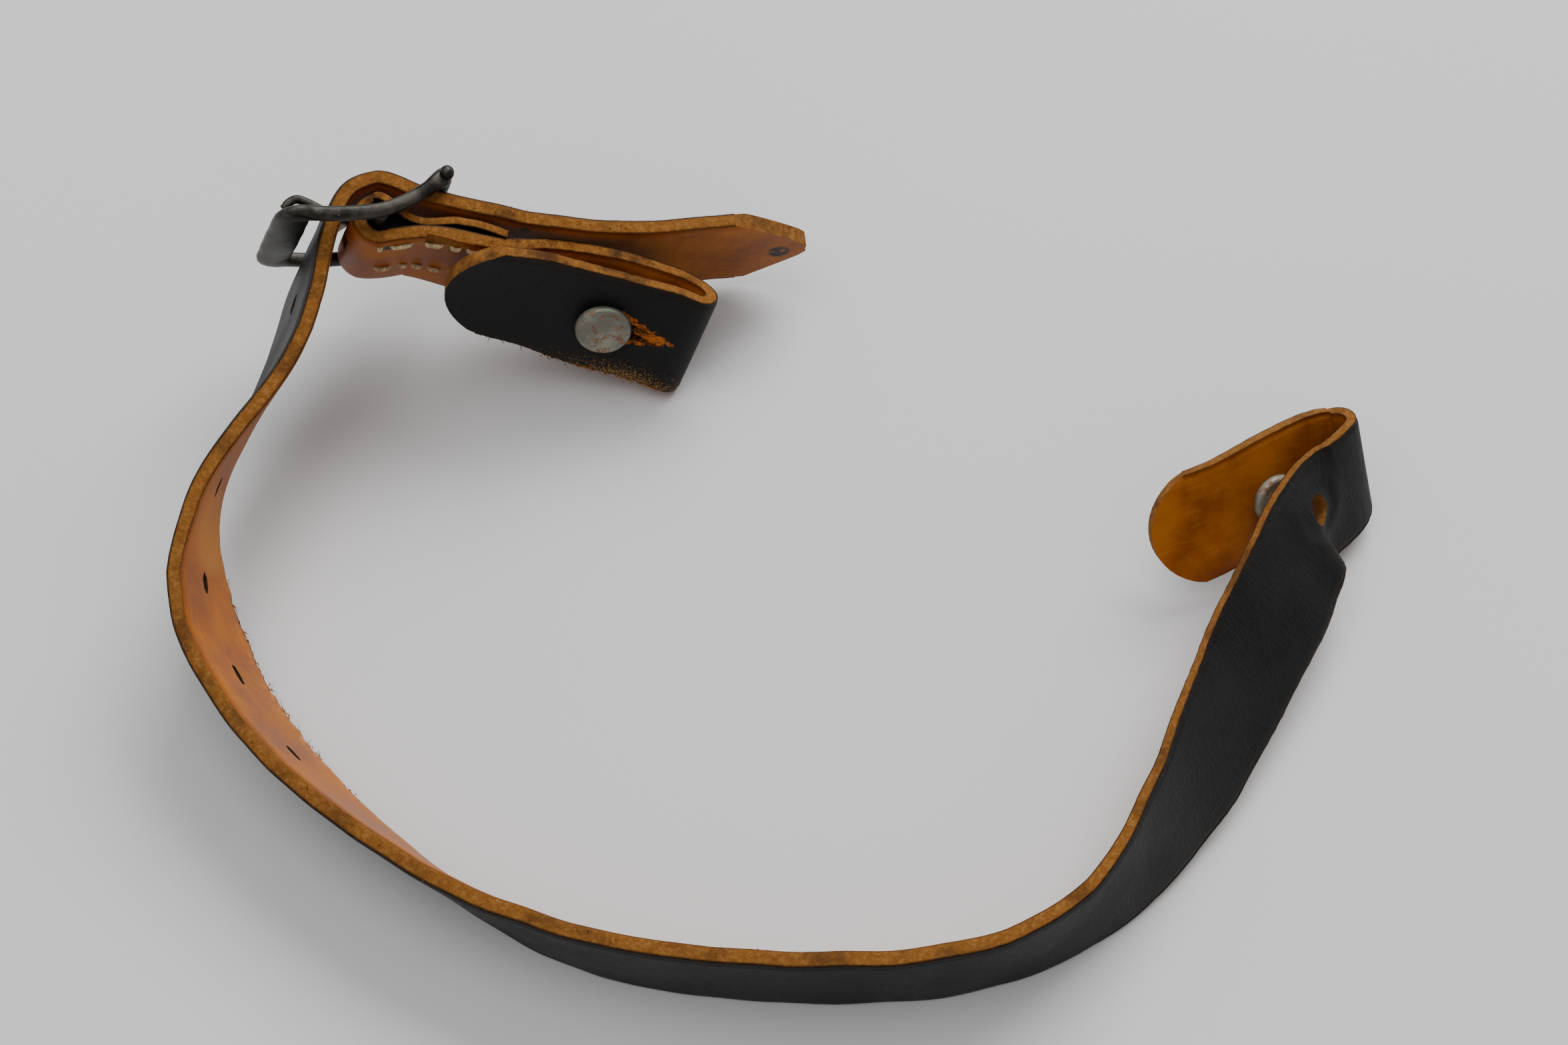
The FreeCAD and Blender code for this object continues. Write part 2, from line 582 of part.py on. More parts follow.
# ---------------------------------------------------------------- checks and export
NODES = {
    "long_strap": long_strap,
    "long_strap_tab": long_tab,
    "long_stud_head": long_head,
    "long_stud_base": long_base,
    "short_strap": short_strap,
    "short_strap_tab": short_tab,
    "short_stud_head": short_head,
    "short_stud_base": short_base,
    "stitching_upper": stitch_rows["stitching_upper"],
    "stitching_lower": stitch_rows["stitching_lower"],
    "buckle_frame": buckle,
    "buckle_tongue": tongue,
}
doc.recompute()
for thing in doc.Objects:
    if "Invalid" in thing.State or "Error" in thing.State:
        raise RuntimeError(f"{thing.Name} failed: {thing.State}")
os.makedirs("parts", exist_ok=True)
for label, thing in NODES.items():
    thing.Label = label
    shape = thing.Shape
    if shape.isNull() or not shape.isValid():
        raise RuntimeError(f"{label} has no valid shape")
    solids = len(shape.Solids)
    bounds = shape.BoundBox
    print(f"{label}: {solids} solids, {shape.Volume:.1f} mm3, z {bounds.ZMin:.2f} to {bounds.ZMax:.2f}")
    shape.exportStep(f"parts/{label}.step")
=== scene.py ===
"""A worn two-piece leather strap, buckled into an open C and standing on its edge on a pale floor."""
import math
import bmesh
import bpy
import numpy as np
from mathutils import Matrix, Vector, noise


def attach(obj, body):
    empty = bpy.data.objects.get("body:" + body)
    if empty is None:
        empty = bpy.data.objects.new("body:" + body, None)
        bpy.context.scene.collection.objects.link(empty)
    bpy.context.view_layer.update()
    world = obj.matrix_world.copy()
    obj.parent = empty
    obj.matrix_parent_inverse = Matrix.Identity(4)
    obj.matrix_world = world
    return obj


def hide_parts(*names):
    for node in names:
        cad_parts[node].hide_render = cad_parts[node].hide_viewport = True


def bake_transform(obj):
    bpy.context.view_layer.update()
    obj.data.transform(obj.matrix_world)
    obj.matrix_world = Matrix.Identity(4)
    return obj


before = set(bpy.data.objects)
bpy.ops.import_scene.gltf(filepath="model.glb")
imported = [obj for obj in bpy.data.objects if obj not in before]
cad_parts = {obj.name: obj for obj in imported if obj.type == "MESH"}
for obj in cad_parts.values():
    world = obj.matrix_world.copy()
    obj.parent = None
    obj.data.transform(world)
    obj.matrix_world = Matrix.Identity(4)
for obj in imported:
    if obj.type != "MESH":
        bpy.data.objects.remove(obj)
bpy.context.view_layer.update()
MM = 0.001

# -------- the object's measures, in mm
ORIGIN = np.array((0.957, -13.543, 0.0))
WIDTH = 16.0
THICK = 2.4
SKIVED = 1.3
HOLE_PITCH = 13.3
HOLE_COUNT = 7
LONG_BUTTONHOLE_INSET = 10.2
LONG_BUTTONHOLE_RISE = 1.4
SHORT_BUTTONHOLE_INSET = 10.4
LONG_STUD_INSET = 12.4
STUD_HEAD_RADIUS = 3.8
LONG_HEAD_RADIUS = 3.3
LONG_NECK = 1.2
STUD_LIFT = 0.6
FRAME_HALF_WIDTH = 10.0

# A station is the middle of the leather (x, y, z) and how far its upper edge leans towards +X
# and +Y for each millimetre that it rises.
LONG_COURSE = [
    (2.9, 39.4, 9.6, 0.02, -0.15),
    (-9.6, 37.4, 10.8, 0.05, -0.18),
    (-20.4, 34.8, 13.2, 0.08, -0.20),
    (-30.2, 33.9, 15.8, 0.14, -0.21),
    (-38.0, 34.2, 18.0, 0.20, -0.24),
    (-45.6, 34.3, 20.9, 0.26, -0.28),
    (-50.5, 35.2, 22.6, 0.30, -0.31),
    (-55.0, 36.3, 23.5, 0.31, -0.32),
    (-58.6, 34.5, 23.9, 0.32, -0.32),
    (-60.4, 31.2, 23.6, 0.35, -0.32),
    (-61.5, 27.4, 22.7, 0.40, -0.33),
    (-62.7, 23.2, 21.2, 0.44, -0.35),
    (-64.4, 16.4, 19.4, 0.48, -0.37),
    (-67.5, 8.6, 17.8, 0.38, -0.35),
    (-71.0, 2.1, 16.7, 0.27, -0.33),
    (-73.5, -3.6, 15.4, 0.15, -0.30),
    (-74.5, -9.6, 13.8, 0.0, -0.28),
    (-74.2, -15.8, 12.0, -0.20, -0.29),
    (-72.3, -22.2, 10.5, -0.31, -0.31),
    (-67.2, -31.2, 8.9, -0.30, -0.33),
    (-60.0, -39.8, 8.0, -0.27, -0.32),
    (-50.0, -48.7, 7.97, -0.20, -0.28),
    (-38.0, -57.0, 8.06, -0.12, -0.21),
    (-23.0, -63.6, 8.06, -0.03, -0.11),
    (-6.0, -66.5, 8.06, -0.01, -0.09),
    (11.0, -66.9, 8.06, 0.01, -0.08),
    (26.0, -64.4, 8.06, -0.01, -0.05),
    (36.8, -58.7, 8.1, -0.09, 0.05),
    (44.8, -50.3, 8.5, -0.32, 0.20),
    (51.6, -39.6, 9.3, -0.66, 0.31),
    (57.2, -28.8, 10.1, -1.00, 0.41),
    (62.6, -18.6, 11.4, -1.12, 0.44),
    (66.4, -10.6, 11.8, -0.98, 0.42),
    (69.2, -5.2, 11.0, -0.70, 0.40),
    (72.2, -1.4, 9.9, -0.42, 0.39),
]
LONG_TAB_COURSE = [
    (66.4, 1.5, 10.2, -0.20, 0.52),
    (58.0, -3.9, 10.0, -0.05, 0.66),
    (47.6, -8.0, 8.6, -0.05, 0.80),
]
SHORT_TAB_COURSE = [
    (-44.5, 24.3, 21.0, 0.38, 0.05),
    (-33.8, 24.5, 17.0, 0.41, 0.22),
    (-24.2, 24.1, 12.5, 0.42, 0.33),
]
SHORT_COURSE = [
    (-24.6, 28.5, 12.4, 0.38, 0.15),
    (-34.0, 29.5, 14.8, 0.34, 0.03),
    (-39.6, 29.6, 17.0, 0.31, -0.18),
    (-45.6, 29.8, 19.6, 0.30, -0.28),
    (-50.2, 29.2, 21.4, 0.31, -0.32),
]
SHORT_BACK_COURSE = [
    (-50.5, 31.05, 22.05, 0.31, -0.32),
    (-45.9, 31.6, 20.25, 0.30, -0.28),
    (-39.0, 31.34, 17.4, 0.28, -0.23),
]

# A fold turns the leather back on its tan side, round an axis along its width.
LONG_FOLD = dict(start=(75.0, 1.9, 9.9), heading=(0.62, 0.78), lean=(-0.29, 0.39),
                 radius=2.1, turn=155.0, split=72.0)
SHORT_FOLD = dict(start=(-14.6, 22.9, 9.14), heading=(1.0, -0.25), lean=(0.42, 0.36),
                  radius=1.75, turn=178.0, split=86.0)
ARC_STEP = 24.0
SEARCH_STEPS = 4000

# The buckle's own axes: along it from front bar to back bar, out through it, and up its bars.
BAR_CENTRE = np.array((-54.7, 30.9, 22.4))
BAR_LEAN = (0.31, -0.32)
BUCKLE_HEADING = (1.0, 0.2)
LOOP_RADIUS = 2.56
LOOP_SPAN = 88.0
RAIL_PROFILE = [(-11.6, 1.1), (-4.8, 0.2), (0.0, 0.3), (4.6, 1.4), (9.2, 4.3)]
TONGUE_PROFILE = [(0.0, 1.05), (-4.2, 3.0), (-7.6, 5.3), (-9.2, 5.9), (-11.0, 4.9)]


def unit(vector):
    return vector / np.linalg.norm(vector)


def smooth(low, high, value):
    """0 below low, 1 above high, and an S-curve between."""
    t = np.clip((np.asarray(value, float) - low) / (high - low), 0.0, 1.0)
    return t * t * (3.0 - 2.0 * t)


def bump(value, centre, half_width):
    """A rounded hill, 1 at its centre."""
    return np.exp(-((np.asarray(value, float) - centre) / half_width) ** 2)


def fold_axes(heading, lean):
    width = unit(np.array((lean[0], lean[1], 1.0)))
    flat = np.array((heading[0], heading[1], 0.0))
    along = unit(flat - width * (flat @ width))
    return along, np.cross(along, width), width


def spread(low, high):
    count = max(1, round((high - low) / ARC_STEP))
    return [low + (high - low) * i / count for i in range(count + 1)]


def arc_stations(centre, outward, along, radius, angles, lean):
    found = []
    for angle in angles:
        a = math.radians(angle)
        p = centre + outward * (radius * math.cos(a)) + along * (radius * math.sin(a))
        found.append((*p, *lean))
    return found


def fold_stations(fold):
    """Stations of a fold up to its split and past it."""
    along, outward, _ = fold_axes(fold["heading"], fold["lean"])
    centre = np.array(fold["start"]) - outward * fold["radius"]
    return [arc_stations(centre, outward, along, fold["radius"], angles, fold["lean"])
            for angles in (spread(0.0, fold["split"]), spread(fold["split"], fold["turn"])[1:])]


class Course:
    """A smooth line through stations; frame(s) gives middle, black side, width and tangent."""

    def __init__(self, stations):
        data = np.array(stations, float)
        self.points = data[:, :3] - ORIGIN
        steps = np.linalg.norm(np.diff(self.points, axis=0), axis=1)
        self.knots = np.concatenate([[0.0], np.cumsum(steps)])
        self.curve = self.spline(self.points)
        self.leans = data[:, 3:5]
        self.length = self.knots[-1]

    def spline(self, values):
        """Second derivatives of the natural cubic spline through values."""
        n = len(self.knots)
        h = np.diff(self.knots)
        rows = np.eye(n)
        right = np.zeros((n, values.shape[1]))
        for i in range(1, n - 1):
            rows[i, i - 1], rows[i, i], rows[i, i + 1] = h[i - 1], 2 * (h[i - 1] + h[i]), h[i]
            right[i] = 6 * ((values[i + 1] - values[i]) / h[i] - (values[i] - values[i - 1]) / h[i - 1])
        return np.linalg.solve(rows, right)

    def frame(self, s):
        s = np.clip(np.asarray(s, float), 0.0, self.length)
        i = np.clip(np.searchsorted(self.knots, s, side="right") - 1, 0, len(self.knots) - 2)
        h = (self.knots[i + 1] - self.knots[i])[..., None]
        a = (self.knots[i + 1] - s)[..., None] / h
        b = 1.0 - a
        p, m = self.points, self.curve
        middle = a * p[i] + b * p[i + 1] + ((a ** 3 - a) * m[i] + (b ** 3 - b) * m[i + 1]) * h * h / 6
        tangent = (p[i + 1] - p[i]) / h + ((3 * b * b - 1) * m[i + 1] - (3 * a * a - 1) * m[i]) * h / 6
        tangent /= np.linalg.norm(tangent, axis=-1, keepdims=True)
        lean = a * self.leans[i] + b * self.leans[i + 1]
        width = np.concatenate([lean, np.ones(lean.shape[:-1] + (1,))], axis=-1)
        width -= (width * tangent).sum(-1, keepdims=True) * tangent
        width /= np.linalg.norm(width, axis=-1, keepdims=True)
        return middle, np.cross(tangent, width), width, tangent

    def nearest(self, point):
        s = np.linspace(0.0, self.length, SEARCH_STEPS)
        return float(s[np.argmin(np.linalg.norm(self.frame(s)[0] - point, axis=1))])


# -------- courses
long_before, long_after = fold_stations(LONG_FOLD)
short_before, short_after = fold_stations(SHORT_FOLD)
bar_along, bar_inward, bar_width = fold_axes(BUCKLE_HEADING, BAR_LEAN)
bar_out = -bar_inward
BAR = BAR_CENTRE - ORIGIN
loop_stations = arc_stations(BAR_CENTRE, -bar_along, bar_out, LOOP_RADIUS, spread(-LOOP_SPAN, LOOP_SPAN),
                             BAR_LEAN)
long_course = Course(LONG_COURSE + long_before + long_after + LONG_TAB_COURSE)
short_course = Course(SHORT_TAB_COURSE + short_before + short_after + SHORT_COURSE + loop_stations
                      + SHORT_BACK_COURSE)
LONG_FOLD_START = long_course.knots[len(LONG_COURSE)]
LONG_FOLD_END = long_course.knots[len(LONG_COURSE) + len(long_before) + len(long_after) - 1]
SHORT_FOLD_START = short_course.knots[len(SHORT_TAB_COURSE)]
after_fold = len(SHORT_TAB_COURSE) + len(short_before) + len(short_after)
SHORT_FOLD_END = short_course.knots[after_fold - 1]
LOOP_START = short_course.knots[after_fold + len(SHORT_COURSE)]
LOOP_END = short_course.knots[-len(SHORT_BACK_COURSE) - 1]


def bar_point(u, v, w=0.0):
    return BAR + bar_along * u + bar_out * v + bar_width * w


TONGUE_CROSSING = bar_point(*TONGUE_PROFILE[1])
FIRST_HOLE = long_course.nearest(TONGUE_CROSSING)
LONG_BUTTONHOLE = LONG_FOLD_START - LONG_BUTTONHOLE_INSET
LONG_STUD = LONG_FOLD_END + LONG_STUD_INSET
SHORT_BUTTONHOLE = SHORT_FOLD_START - SHORT_BUTTONHOLE_INSET


def put_in_scene(name, data):
    obj = bpy.data.objects.new(name, data)
    bpy.context.collection.objects.link(obj)
    return obj


# -------- node helpers
def new_material(name):
    material = bpy.data.materials.new(name)
    material.use_nodes = True
    nodes = material.node_tree.nodes
    nodes.clear()
    output = nodes.new("ShaderNodeOutputMaterial")
    shader = nodes.new("ShaderNodeBsdfPrincipled")
    material.node_tree.links.new(shader.outputs[0], output.inputs[0])
    return material, shader


class Graph:
    """Short calls for the nodes of one material."""

    def __init__(self, material):
        self.nodes = material.node_tree.nodes
        self.links = material.node_tree.links

    def put(self, socket, value):
        if hasattr(value, "is_output"):
            self.links.new(value, socket)
        else:
            socket.default_value = value

    def math(self, operation, a, b=0.0, clamp=False):
        node = self.nodes.new("ShaderNodeMath")
        node.operation = operation
        node.use_clamp = clamp
        self.put(node.inputs[0], a)
        self.put(node.inputs[1], b)
        return node.outputs[0]

    def plus(self, a, b, clamp=False):
        return self.math("ADD", a, b, clamp)

    def minus(self, a, b, clamp=False):
        return self.math("SUBTRACT", a, b, clamp)

    def times(self, a, b):
        return self.math("MULTIPLY", a, b)

    def ramp(self, value, low, high, out_low=0.0, out_high=1.0):
        node = self.nodes.new("ShaderNodeMapRange")
        node.interpolation_type = "SMOOTHSTEP"
        self.put(node.inputs[0], value)
        for i, number in enumerate((low, high, out_low, out_high), start=1):
            self.put(node.inputs[i], number)
        return node.outputs[0]

    def mix(self, factor, a, b):
        node = self.nodes.new("ShaderNodeMix")
        node.data_type = "RGBA"
        self.put(node.inputs[0], factor)
        self.put(node.inputs[6], a)
        self.put(node.inputs[7], b)
        return node.outputs[2]

    def blend_numbers(self, factor, a, b):
        node = self.nodes.new("ShaderNodeMix")
        self.put(node.inputs[0], factor)
        self.put(node.inputs[2], a)
        self.put(node.inputs[3], b)
        return node.outputs[0]

    def noise(self, vector, scale, detail=4.0, rough=0.6, stretch=None):
        if stretch is not None:
            mapping = self.nodes.new("ShaderNodeMapping")
            mapping.inputs["Scale"].default_value = stretch
            self.links.new(vector, mapping.inputs[0])
            vector = mapping.outputs[0]
        node = self.nodes.new("ShaderNodeTexNoise")
        self.links.new(vector, node.inputs["Vector"])
        node.inputs["Scale"].default_value = scale
        node.inputs["Detail"].default_value = detail
        node.inputs["Roughness"].default_value = rough
        return node.outputs["Fac"]

    def cells(self, vector, scale):
        node = self.nodes.new("ShaderNodeTexVoronoi")
        node.feature = "DISTANCE_TO_EDGE"
        self.links.new(vector, node.inputs["Vector"])
        node.inputs["Scale"].default_value = scale
        return node.outputs["Distance"]

    def bump(self, height, distance, strength=1.0, normal=None):
        node = self.nodes.new("ShaderNodeBump")
        node.inputs["Strength"].default_value = strength
        node.inputs["Distance"].default_value = distance
        self.links.new(height, node.inputs["Height"])
        if normal is not None:
            self.links.new(normal, node.inputs["Normal"])
        return node.outputs[0]

    def uv(self, name):
        node = self.nodes.new("ShaderNodeUVMap")
        node.uv_map = name
        split = self.nodes.new("ShaderNodeSeparateXYZ")
        self.links.new(node.outputs[0], split.inputs[0])
        return node.outputs[0], split.outputs[0], split.outputs[1]

    def position(self):
        return self.nodes.new("ShaderNodeTexCoord").outputs["Object"]

    def hill(self, value, centre, half_width):
        """1 at the centre of a band, 0 from half_width away."""
        away = self.math("ABSOLUTE", self.minus(value, centre))
        return self.ramp(away, 0.0, half_width, 1.0, 0.0)

    def spot(self, s, w, at_s, at_w, radius, soft):
        """1 inside a round spot on the leather, 0 outside it."""
        ds = self.minus(s, at_s)
        dw = self.minus(w, at_w)
        far = self.math("SQRT", self.plus(self.times(ds, ds), self.times(dw, dw)))
        return self.ramp(far, radius - soft, radius + soft, 1.0, 0.0)

    def union(self, masks):
        total = masks[0]
        for mask in masks[1:]:
            total = self.math("MAXIMUM", total, mask)
        return total


# -------- leather
FACE_COLUMNS = 27
RIM_COLUMNS = (0.86, 0.5, 0.0, -0.5, -0.86)
ROUND_FROM = 0.955
ROUND_DEPTH = 0.27
RIM_BULGE = 0.10
FIBRE_CORNERS = (0.0, 2.094, 4.189)
OVAL_STEPS = 26
TAB_HALF = 8.9
CLEAR_OF_RIM = 12.0
CLEAR_OF_END = -4.0

BLACK = (0.0030, 0.0030, 0.0033, 1.0)
BLACK_WORN = (0.0100, 0.0098, 0.0100, 1.0)
BLACK_RIM = (0.036, 0.020, 0.010, 1.0)
TAN = (0.37, 0.112, 0.0070, 1.0)
TAN_DARK = (0.20, 0.050, 0.0035, 1.0)
TAN_PALE = (0.47, 0.185, 0.022, 1.0)
RAW = (0.24, 0.088, 0.012, 1.0)
RAW_PALE = (0.36, 0.160, 0.036, 1.0)
RAW_DARK = (0.070, 0.026, 0.007, 1.0)
FRAYED = (0.58, 0.190, 0.020, 1.0)
GOLD = (0.30, 0.160, 0.045, 1.0)
TORN = (0.62, 0.165, 0.014, 1.0)
# Near black: the colour of ink stains, and also painted shade inside holes and the tear.
INK_AND_HOLE_SHADE = (0.02, 0.014, 0.012, 1.0)
ROUGH_RAW = 0.90


def leather_material(name, cracked, dark_spots, worn_bands, dirty_rims, painted_sheen_spots=(), torn=None):
    """Leather by where it is on the strap, in mm: u along it, v across it, and its side.

    cracked: (s, half length) stretches where the black grain is finely cracked.
    dark_spots: (s, w, radius) ink and grime on the tan side.
    worn_bands: (s, half length) stretches where the lower rim is frayed orange.
    dirty_rims: how strongly grime darkens the raw edges, 0 to 1.
    torn: (s, length, half height) of a tear whose grain has come away, or None.
    """
    material, shader = new_material(name)
    g = Graph(material)
    place, s, w = g.uv("Strap")
    # The Side layer's second value is painted shade on the walls of holes and of the tear, set by the
    # cutters.
    _, through, dirt = g.uv("Side")
    grain_at = g.position()
    edge_at = g.math("ABSOLUTE", w)
    ragged = g.minus(g.noise(grain_at, 900.0, 5.0, 0.7), 0.5)
    ragged_low = g.minus(g.noise(grain_at, 160.0, 4.0, 0.6), 0.5)
    edge_w = g.plus(edge_at, g.times(ragged, 0.9))
    edge_w = g.plus(edge_w, g.times(ragged_low, 0.7))
    black_side = g.ramp(g.plus(through, g.times(ragged, 0.55)), 0.66, 0.86)
    tan_side = g.ramp(g.minus(g.times(ragged, 0.4), through), 0.70, 0.90)

    # Black grain face: cracked over the folds, golden fibres along the frayed lower rim.
    cloud = g.noise(grain_at, 70.0, 5.0, 0.6)
    pores = g.cells(grain_at, 1900.0)
    wrinkle = g.noise(place, 0.55, 4.0, 0.7, stretch=(2.6, 0.6, 1.0))
    fleck = g.noise(grain_at, 1350.0, 5.0, 0.72)
    cracks = g.noise(place, 2.4, 5.0, 0.72, stretch=(1.5, 0.45, 1.0))
    crack_zone = g.union([g.hill(s, at, half) for at, half in cracked])
    worn_zone = g.union([g.hill(s, at, half) for at, half in worn_bands])
    black = g.mix(g.ramp(cloud, 0.35, 0.72), BLACK, BLACK_WORN)
    black = g.mix(g.times(crack_zone, g.ramp(cracks, 0.60, 0.70)), black, BLACK_RIM)
    black = g.mix(g.times(g.ramp(edge_w, 7.3, 8.0), 0.55), black, BLACK_RIM)
    low_rim = g.times(g.ramp(g.times(w, -1.0), 3.6, 8.2), worn_zone)
    dust = g.noise(grain_at, 3600.0, 5.0, 0.75)
    threshold = g.minus(g.plus(dust, g.times(low_rim, 0.19)), 0.64)
    gold = g.times(g.ramp(threshold, 0.0, 0.06), g.ramp(low_rim, 0.02, 0.2))
    black = g.mix(g.times(gold, 0.75), black, GOLD)
    if torn is not None:
        torn_s, torn_length, torn_half = torn
        along = g.math("DIVIDE", g.minus(s, torn_s), torn_length)
        reach = g.times(g.minus(1.0, along), torn_half)
        inside = g.minus(reach, g.math("ABSOLUTE", g.minus(w, 0.15)))
        inside = g.plus(inside, g.times(ragged, 2.6))
        flesh_shown = g.times(g.ramp(inside, 0.0, 0.25), g.ramp(along, -0.1, 0.0))
        torn_colour = g.mix(g.ramp(fleck, 0.36, 0.54), RAW_DARK, TORN)
        black = g.mix(flesh_shown, black, torn_colour)

    # Tan flesh face: smooth, darker where handled, mottled, with grime along the rims.
    mottled = g.noise(grain_at, 110.0, 6.0, 0.62)
    streak = g.noise(place, 0.9, 5.0, 0.6, stretch=(0.35, 2.2, 1.0))
    tan = g.mix(g.ramp(mottled, 0.30, 0.66), TAN_DARK, TAN)
    tan = g.mix(g.times(g.ramp(streak, 0.52, 0.76), 0.40), tan, TAN_PALE)
    tan = g.mix(g.times(g.ramp(edge_w, 6.6, 7.9), 0.35), tan, TAN_DARK)
    tan = g.mix(g.times(low_rim, g.ramp(fleck, 0.46, 0.60)), tan, FRAYED)
    stains = [g.spot(s, w, *spot, 0.35) for spot in dark_spots]
    blotch = g.times(g.union(stains), g.ramp(g.noise(grain_at, 700.0, 3.0), 0.30, 0.5))
    tan = g.mix(blotch, tan, INK_AND_HOLE_SHADE)
    # Painted sheen: pale patches on the tan face where the light glances off it.
    for at_s, at_w, radius in painted_sheen_spots:
        tan = g.mix(g.times(g.spot(s, w, at_s, at_w, radius, 1.5), 0.5), tan, TAN_PALE)

    # Raw cut edge: brown and burnished with dirty stretches, pale where the fibres stand up.
    fibres = g.noise(grain_at, 1500.0, 6.0, 0.75)
    grime = g.noise(grain_at, 210.0, 4.0, 0.6)
    raw = g.mix(g.ramp(fibres, 0.42, 0.68), RAW, RAW_PALE)
    raw = g.mix(g.times(g.ramp(grime, 0.46, 0.68), dirty_rims), raw, RAW_DARK)
    raw = g.mix(g.times(g.ramp(through, 0.45, 0.85), 0.80), raw, RAW_DARK)
    raw = g.mix(g.times(low_rim, 0.75), raw, FRAYED)
    # Painted shade: the walls of holes and of the tear are darkened towards near black.
    raw = g.mix(g.times(dirt, 0.90), raw, INK_AND_HOLE_SHADE)

    colour = g.mix(tan_side, g.mix(black_side, raw, black), tan)
    g.put(shader.inputs["Base Color"], colour)
    rough_black = g.ramp(cloud, 0.35, 0.70, 0.48, 0.64)
    rough_tan = g.ramp(mottled, 0.3, 0.7, 0.42, 0.58)
    rough = g.blend_numbers(tan_side, g.blend_numbers(black_side, ROUGH_RAW, rough_black), rough_tan)
    g.put(shader.inputs["Roughness"], rough)
    shader.inputs["Specular IOR Level"].default_value = 0.19

    raw_mask = g.minus(1.0, g.plus(black_side, tan_side), clamp=True)
    fuzz = g.times(fibres, raw_mask)
    grain = g.times(g.ramp(pores, 0.0, 0.22), g.times(black_side, 0.5))
    flesh = g.times(g.noise(grain_at, 1300.0, 4.0, 0.6), g.times(tan_side, 0.35))
    relief = g.bump(g.plus(grain, flesh), 0.00008, 0.55)
    creased = g.times(wrinkle, g.plus(black_side, g.times(tan_side, 0.5)))
    relief = g.bump(creased, 0.00030, 0.55, relief)
    relief = g.bump(g.times(cracks, g.times(crack_zone, black_side)), 0.00035, 0.7, relief)
    relief = g.bump(fuzz, 0.00050, 1.0, relief)
    if torn is not None:
        relief = g.bump(g.times(g.minus(fleck, flesh_shown), flesh_shown), 0.0006, 1.0,
                        relief)
    g.put(shader.inputs["Normal"], relief)
    return material


def strip(name, course, step, thickness, edge, push):
    """Leather all along a course, as one closed skin with soft edges that stays above the floor.

    thickness(s) is in mm; edge(s, side) moves a rim outwards; push(s, w) lifts the face.
    """
    s = np.linspace(0.0, course.length, int(round(course.length / step)) + 1)
    middle, normal, width, _ = course.frame(s)
    thick = thickness(s)
    across = np.linspace(-1.0, 1.0, FACE_COLUMNS)
    ring = [(a, 1.0) for a in across]
    ring += [(1.0, b) for b in RIM_COLUMNS]
    ring += [(a, -1.0) for a in across[::-1]]
    ring += [(-1.0, b) for b in RIM_COLUMNS[::-1]]
    a, b = np.array(ring).T
    # The faces drop a little just inside the rims, and the rims bulge between them.
    inset = np.where(np.abs(b) >= 1.0, smooth(ROUND_FROM, 1.0, np.abs(a)) * ROUND_DEPTH, 0.0)
    bulge = np.where(np.abs(b) < 1.0, RIM_BULGE * (1 - b * b), 0.0) - RIM_BULGE / 2
    rows = []
    half = WIDTH / 2
    for i in range(len(s)):
        rim = np.where(a > 0, edge(s[i], 1.0), edge(s[i], -1.0))
        w = a * half + np.sign(a) * bulge + a * rim
        n = b * (thick[i] / 2) - np.sign(b) * inset + push(s[i], w)
        rows.append(middle[i] + np.outer(w, width[i]) + np.outer(n, normal[i]))
    grid = np.array(rows)
    grid[..., 2] = np.maximum(grid[..., 2], 0.0)
    vertices = grid.reshape(-1, 3) * MM
    ring_count = len(ring)
    mesh = bpy.data.meshes.new(name)
    faces = []
    for low in range(0, (len(s) - 1) * ring_count, ring_count):
        high = low + ring_count
        faces += [(low + j, low + (j + 1) % ring_count, high + (j + 1) % ring_count, high + j)
                  for j in range(ring_count)]
    faces.append(tuple(range(ring_count))[::-1])
    faces.append(tuple((len(s) - 1) * ring_count + j for j in range(ring_count)))
    mesh.from_pydata([tuple(v) for v in vertices], [], faces)
    strap_uv = mesh.uv_layers.new(name="Strap")
    side_uv = mesh.uv_layers.new(name="Side")
    at = np.empty(len(mesh.loops), int)
    mesh.loops.foreach_get("vertex_index", at)
    column = at % ring_count
    strap_uv.data.foreach_set("uv", np.column_stack([s[at // ring_count], a[column] * half]).ravel())
    through = b[column]
    through[-2 * ring_count:] = 0.0
    side_uv.data.foreach_set("uv", np.column_stack([through, np.zeros(len(at))]).ravel())
    mesh.shade_smooth()
    mesh.update()
    return put_in_scene(name, mesh)


def carve(obj, cutters):
    """Takes the cutters out of obj; their walls are raw leather, with painted shade where a cutter says
    so.
    """
    for cutter in cutters:
        side = cutter.data.uv_layers.new(name="Side")
        # The second value is how much painted shade darkens this cut's walls.
        side.data.foreach_set("uv", [0.0, cutter.get("dirt", 0.0)] * len(cutter.data.loops))
        modifier = obj.modifiers.new("cut", "BOOLEAN")
        modifier.operation = "DIFFERENCE"
        modifier.solver = "EXACT"
        modifier.object = cutter
    graph = bpy.context.evaluated_depsgraph_get()
    carved = bpy.data.meshes.new_from_object(obj.evaluated_get(graph))
    obj.modifiers.clear()
    obj.data = carved
    for cutter in cutters:
        bpy.data.objects.remove(cutter)


def shell(name, data, rounded=True):
    """Object with the mesh that was built in data, its normals outwards."""
    bmesh.ops.recalc_face_normals(data, faces=data.faces)
    mesh = bpy.data.meshes.new(name)
    data.to_mesh(mesh)
    data.free()
    if rounded:
        mesh.shade_smooth()
    return put_in_scene(name, mesh)


def skin(data, rings, closed=False):
    """Faces round and between rings of vertices, with the two ends capped unless it is closed."""
    count = len(rings[0])
    following = rings[1:] + rings[:1] if closed else rings[1:]
    for low, high in zip(rings, following):
        for k in range(count):
            data.faces.new((low[k], low[(k + 1) % count], high[(k + 1) % count], high[k]))
    if not closed:
        data.faces.new(rings[0][::-1])
        data.faces.new(rings[-1])


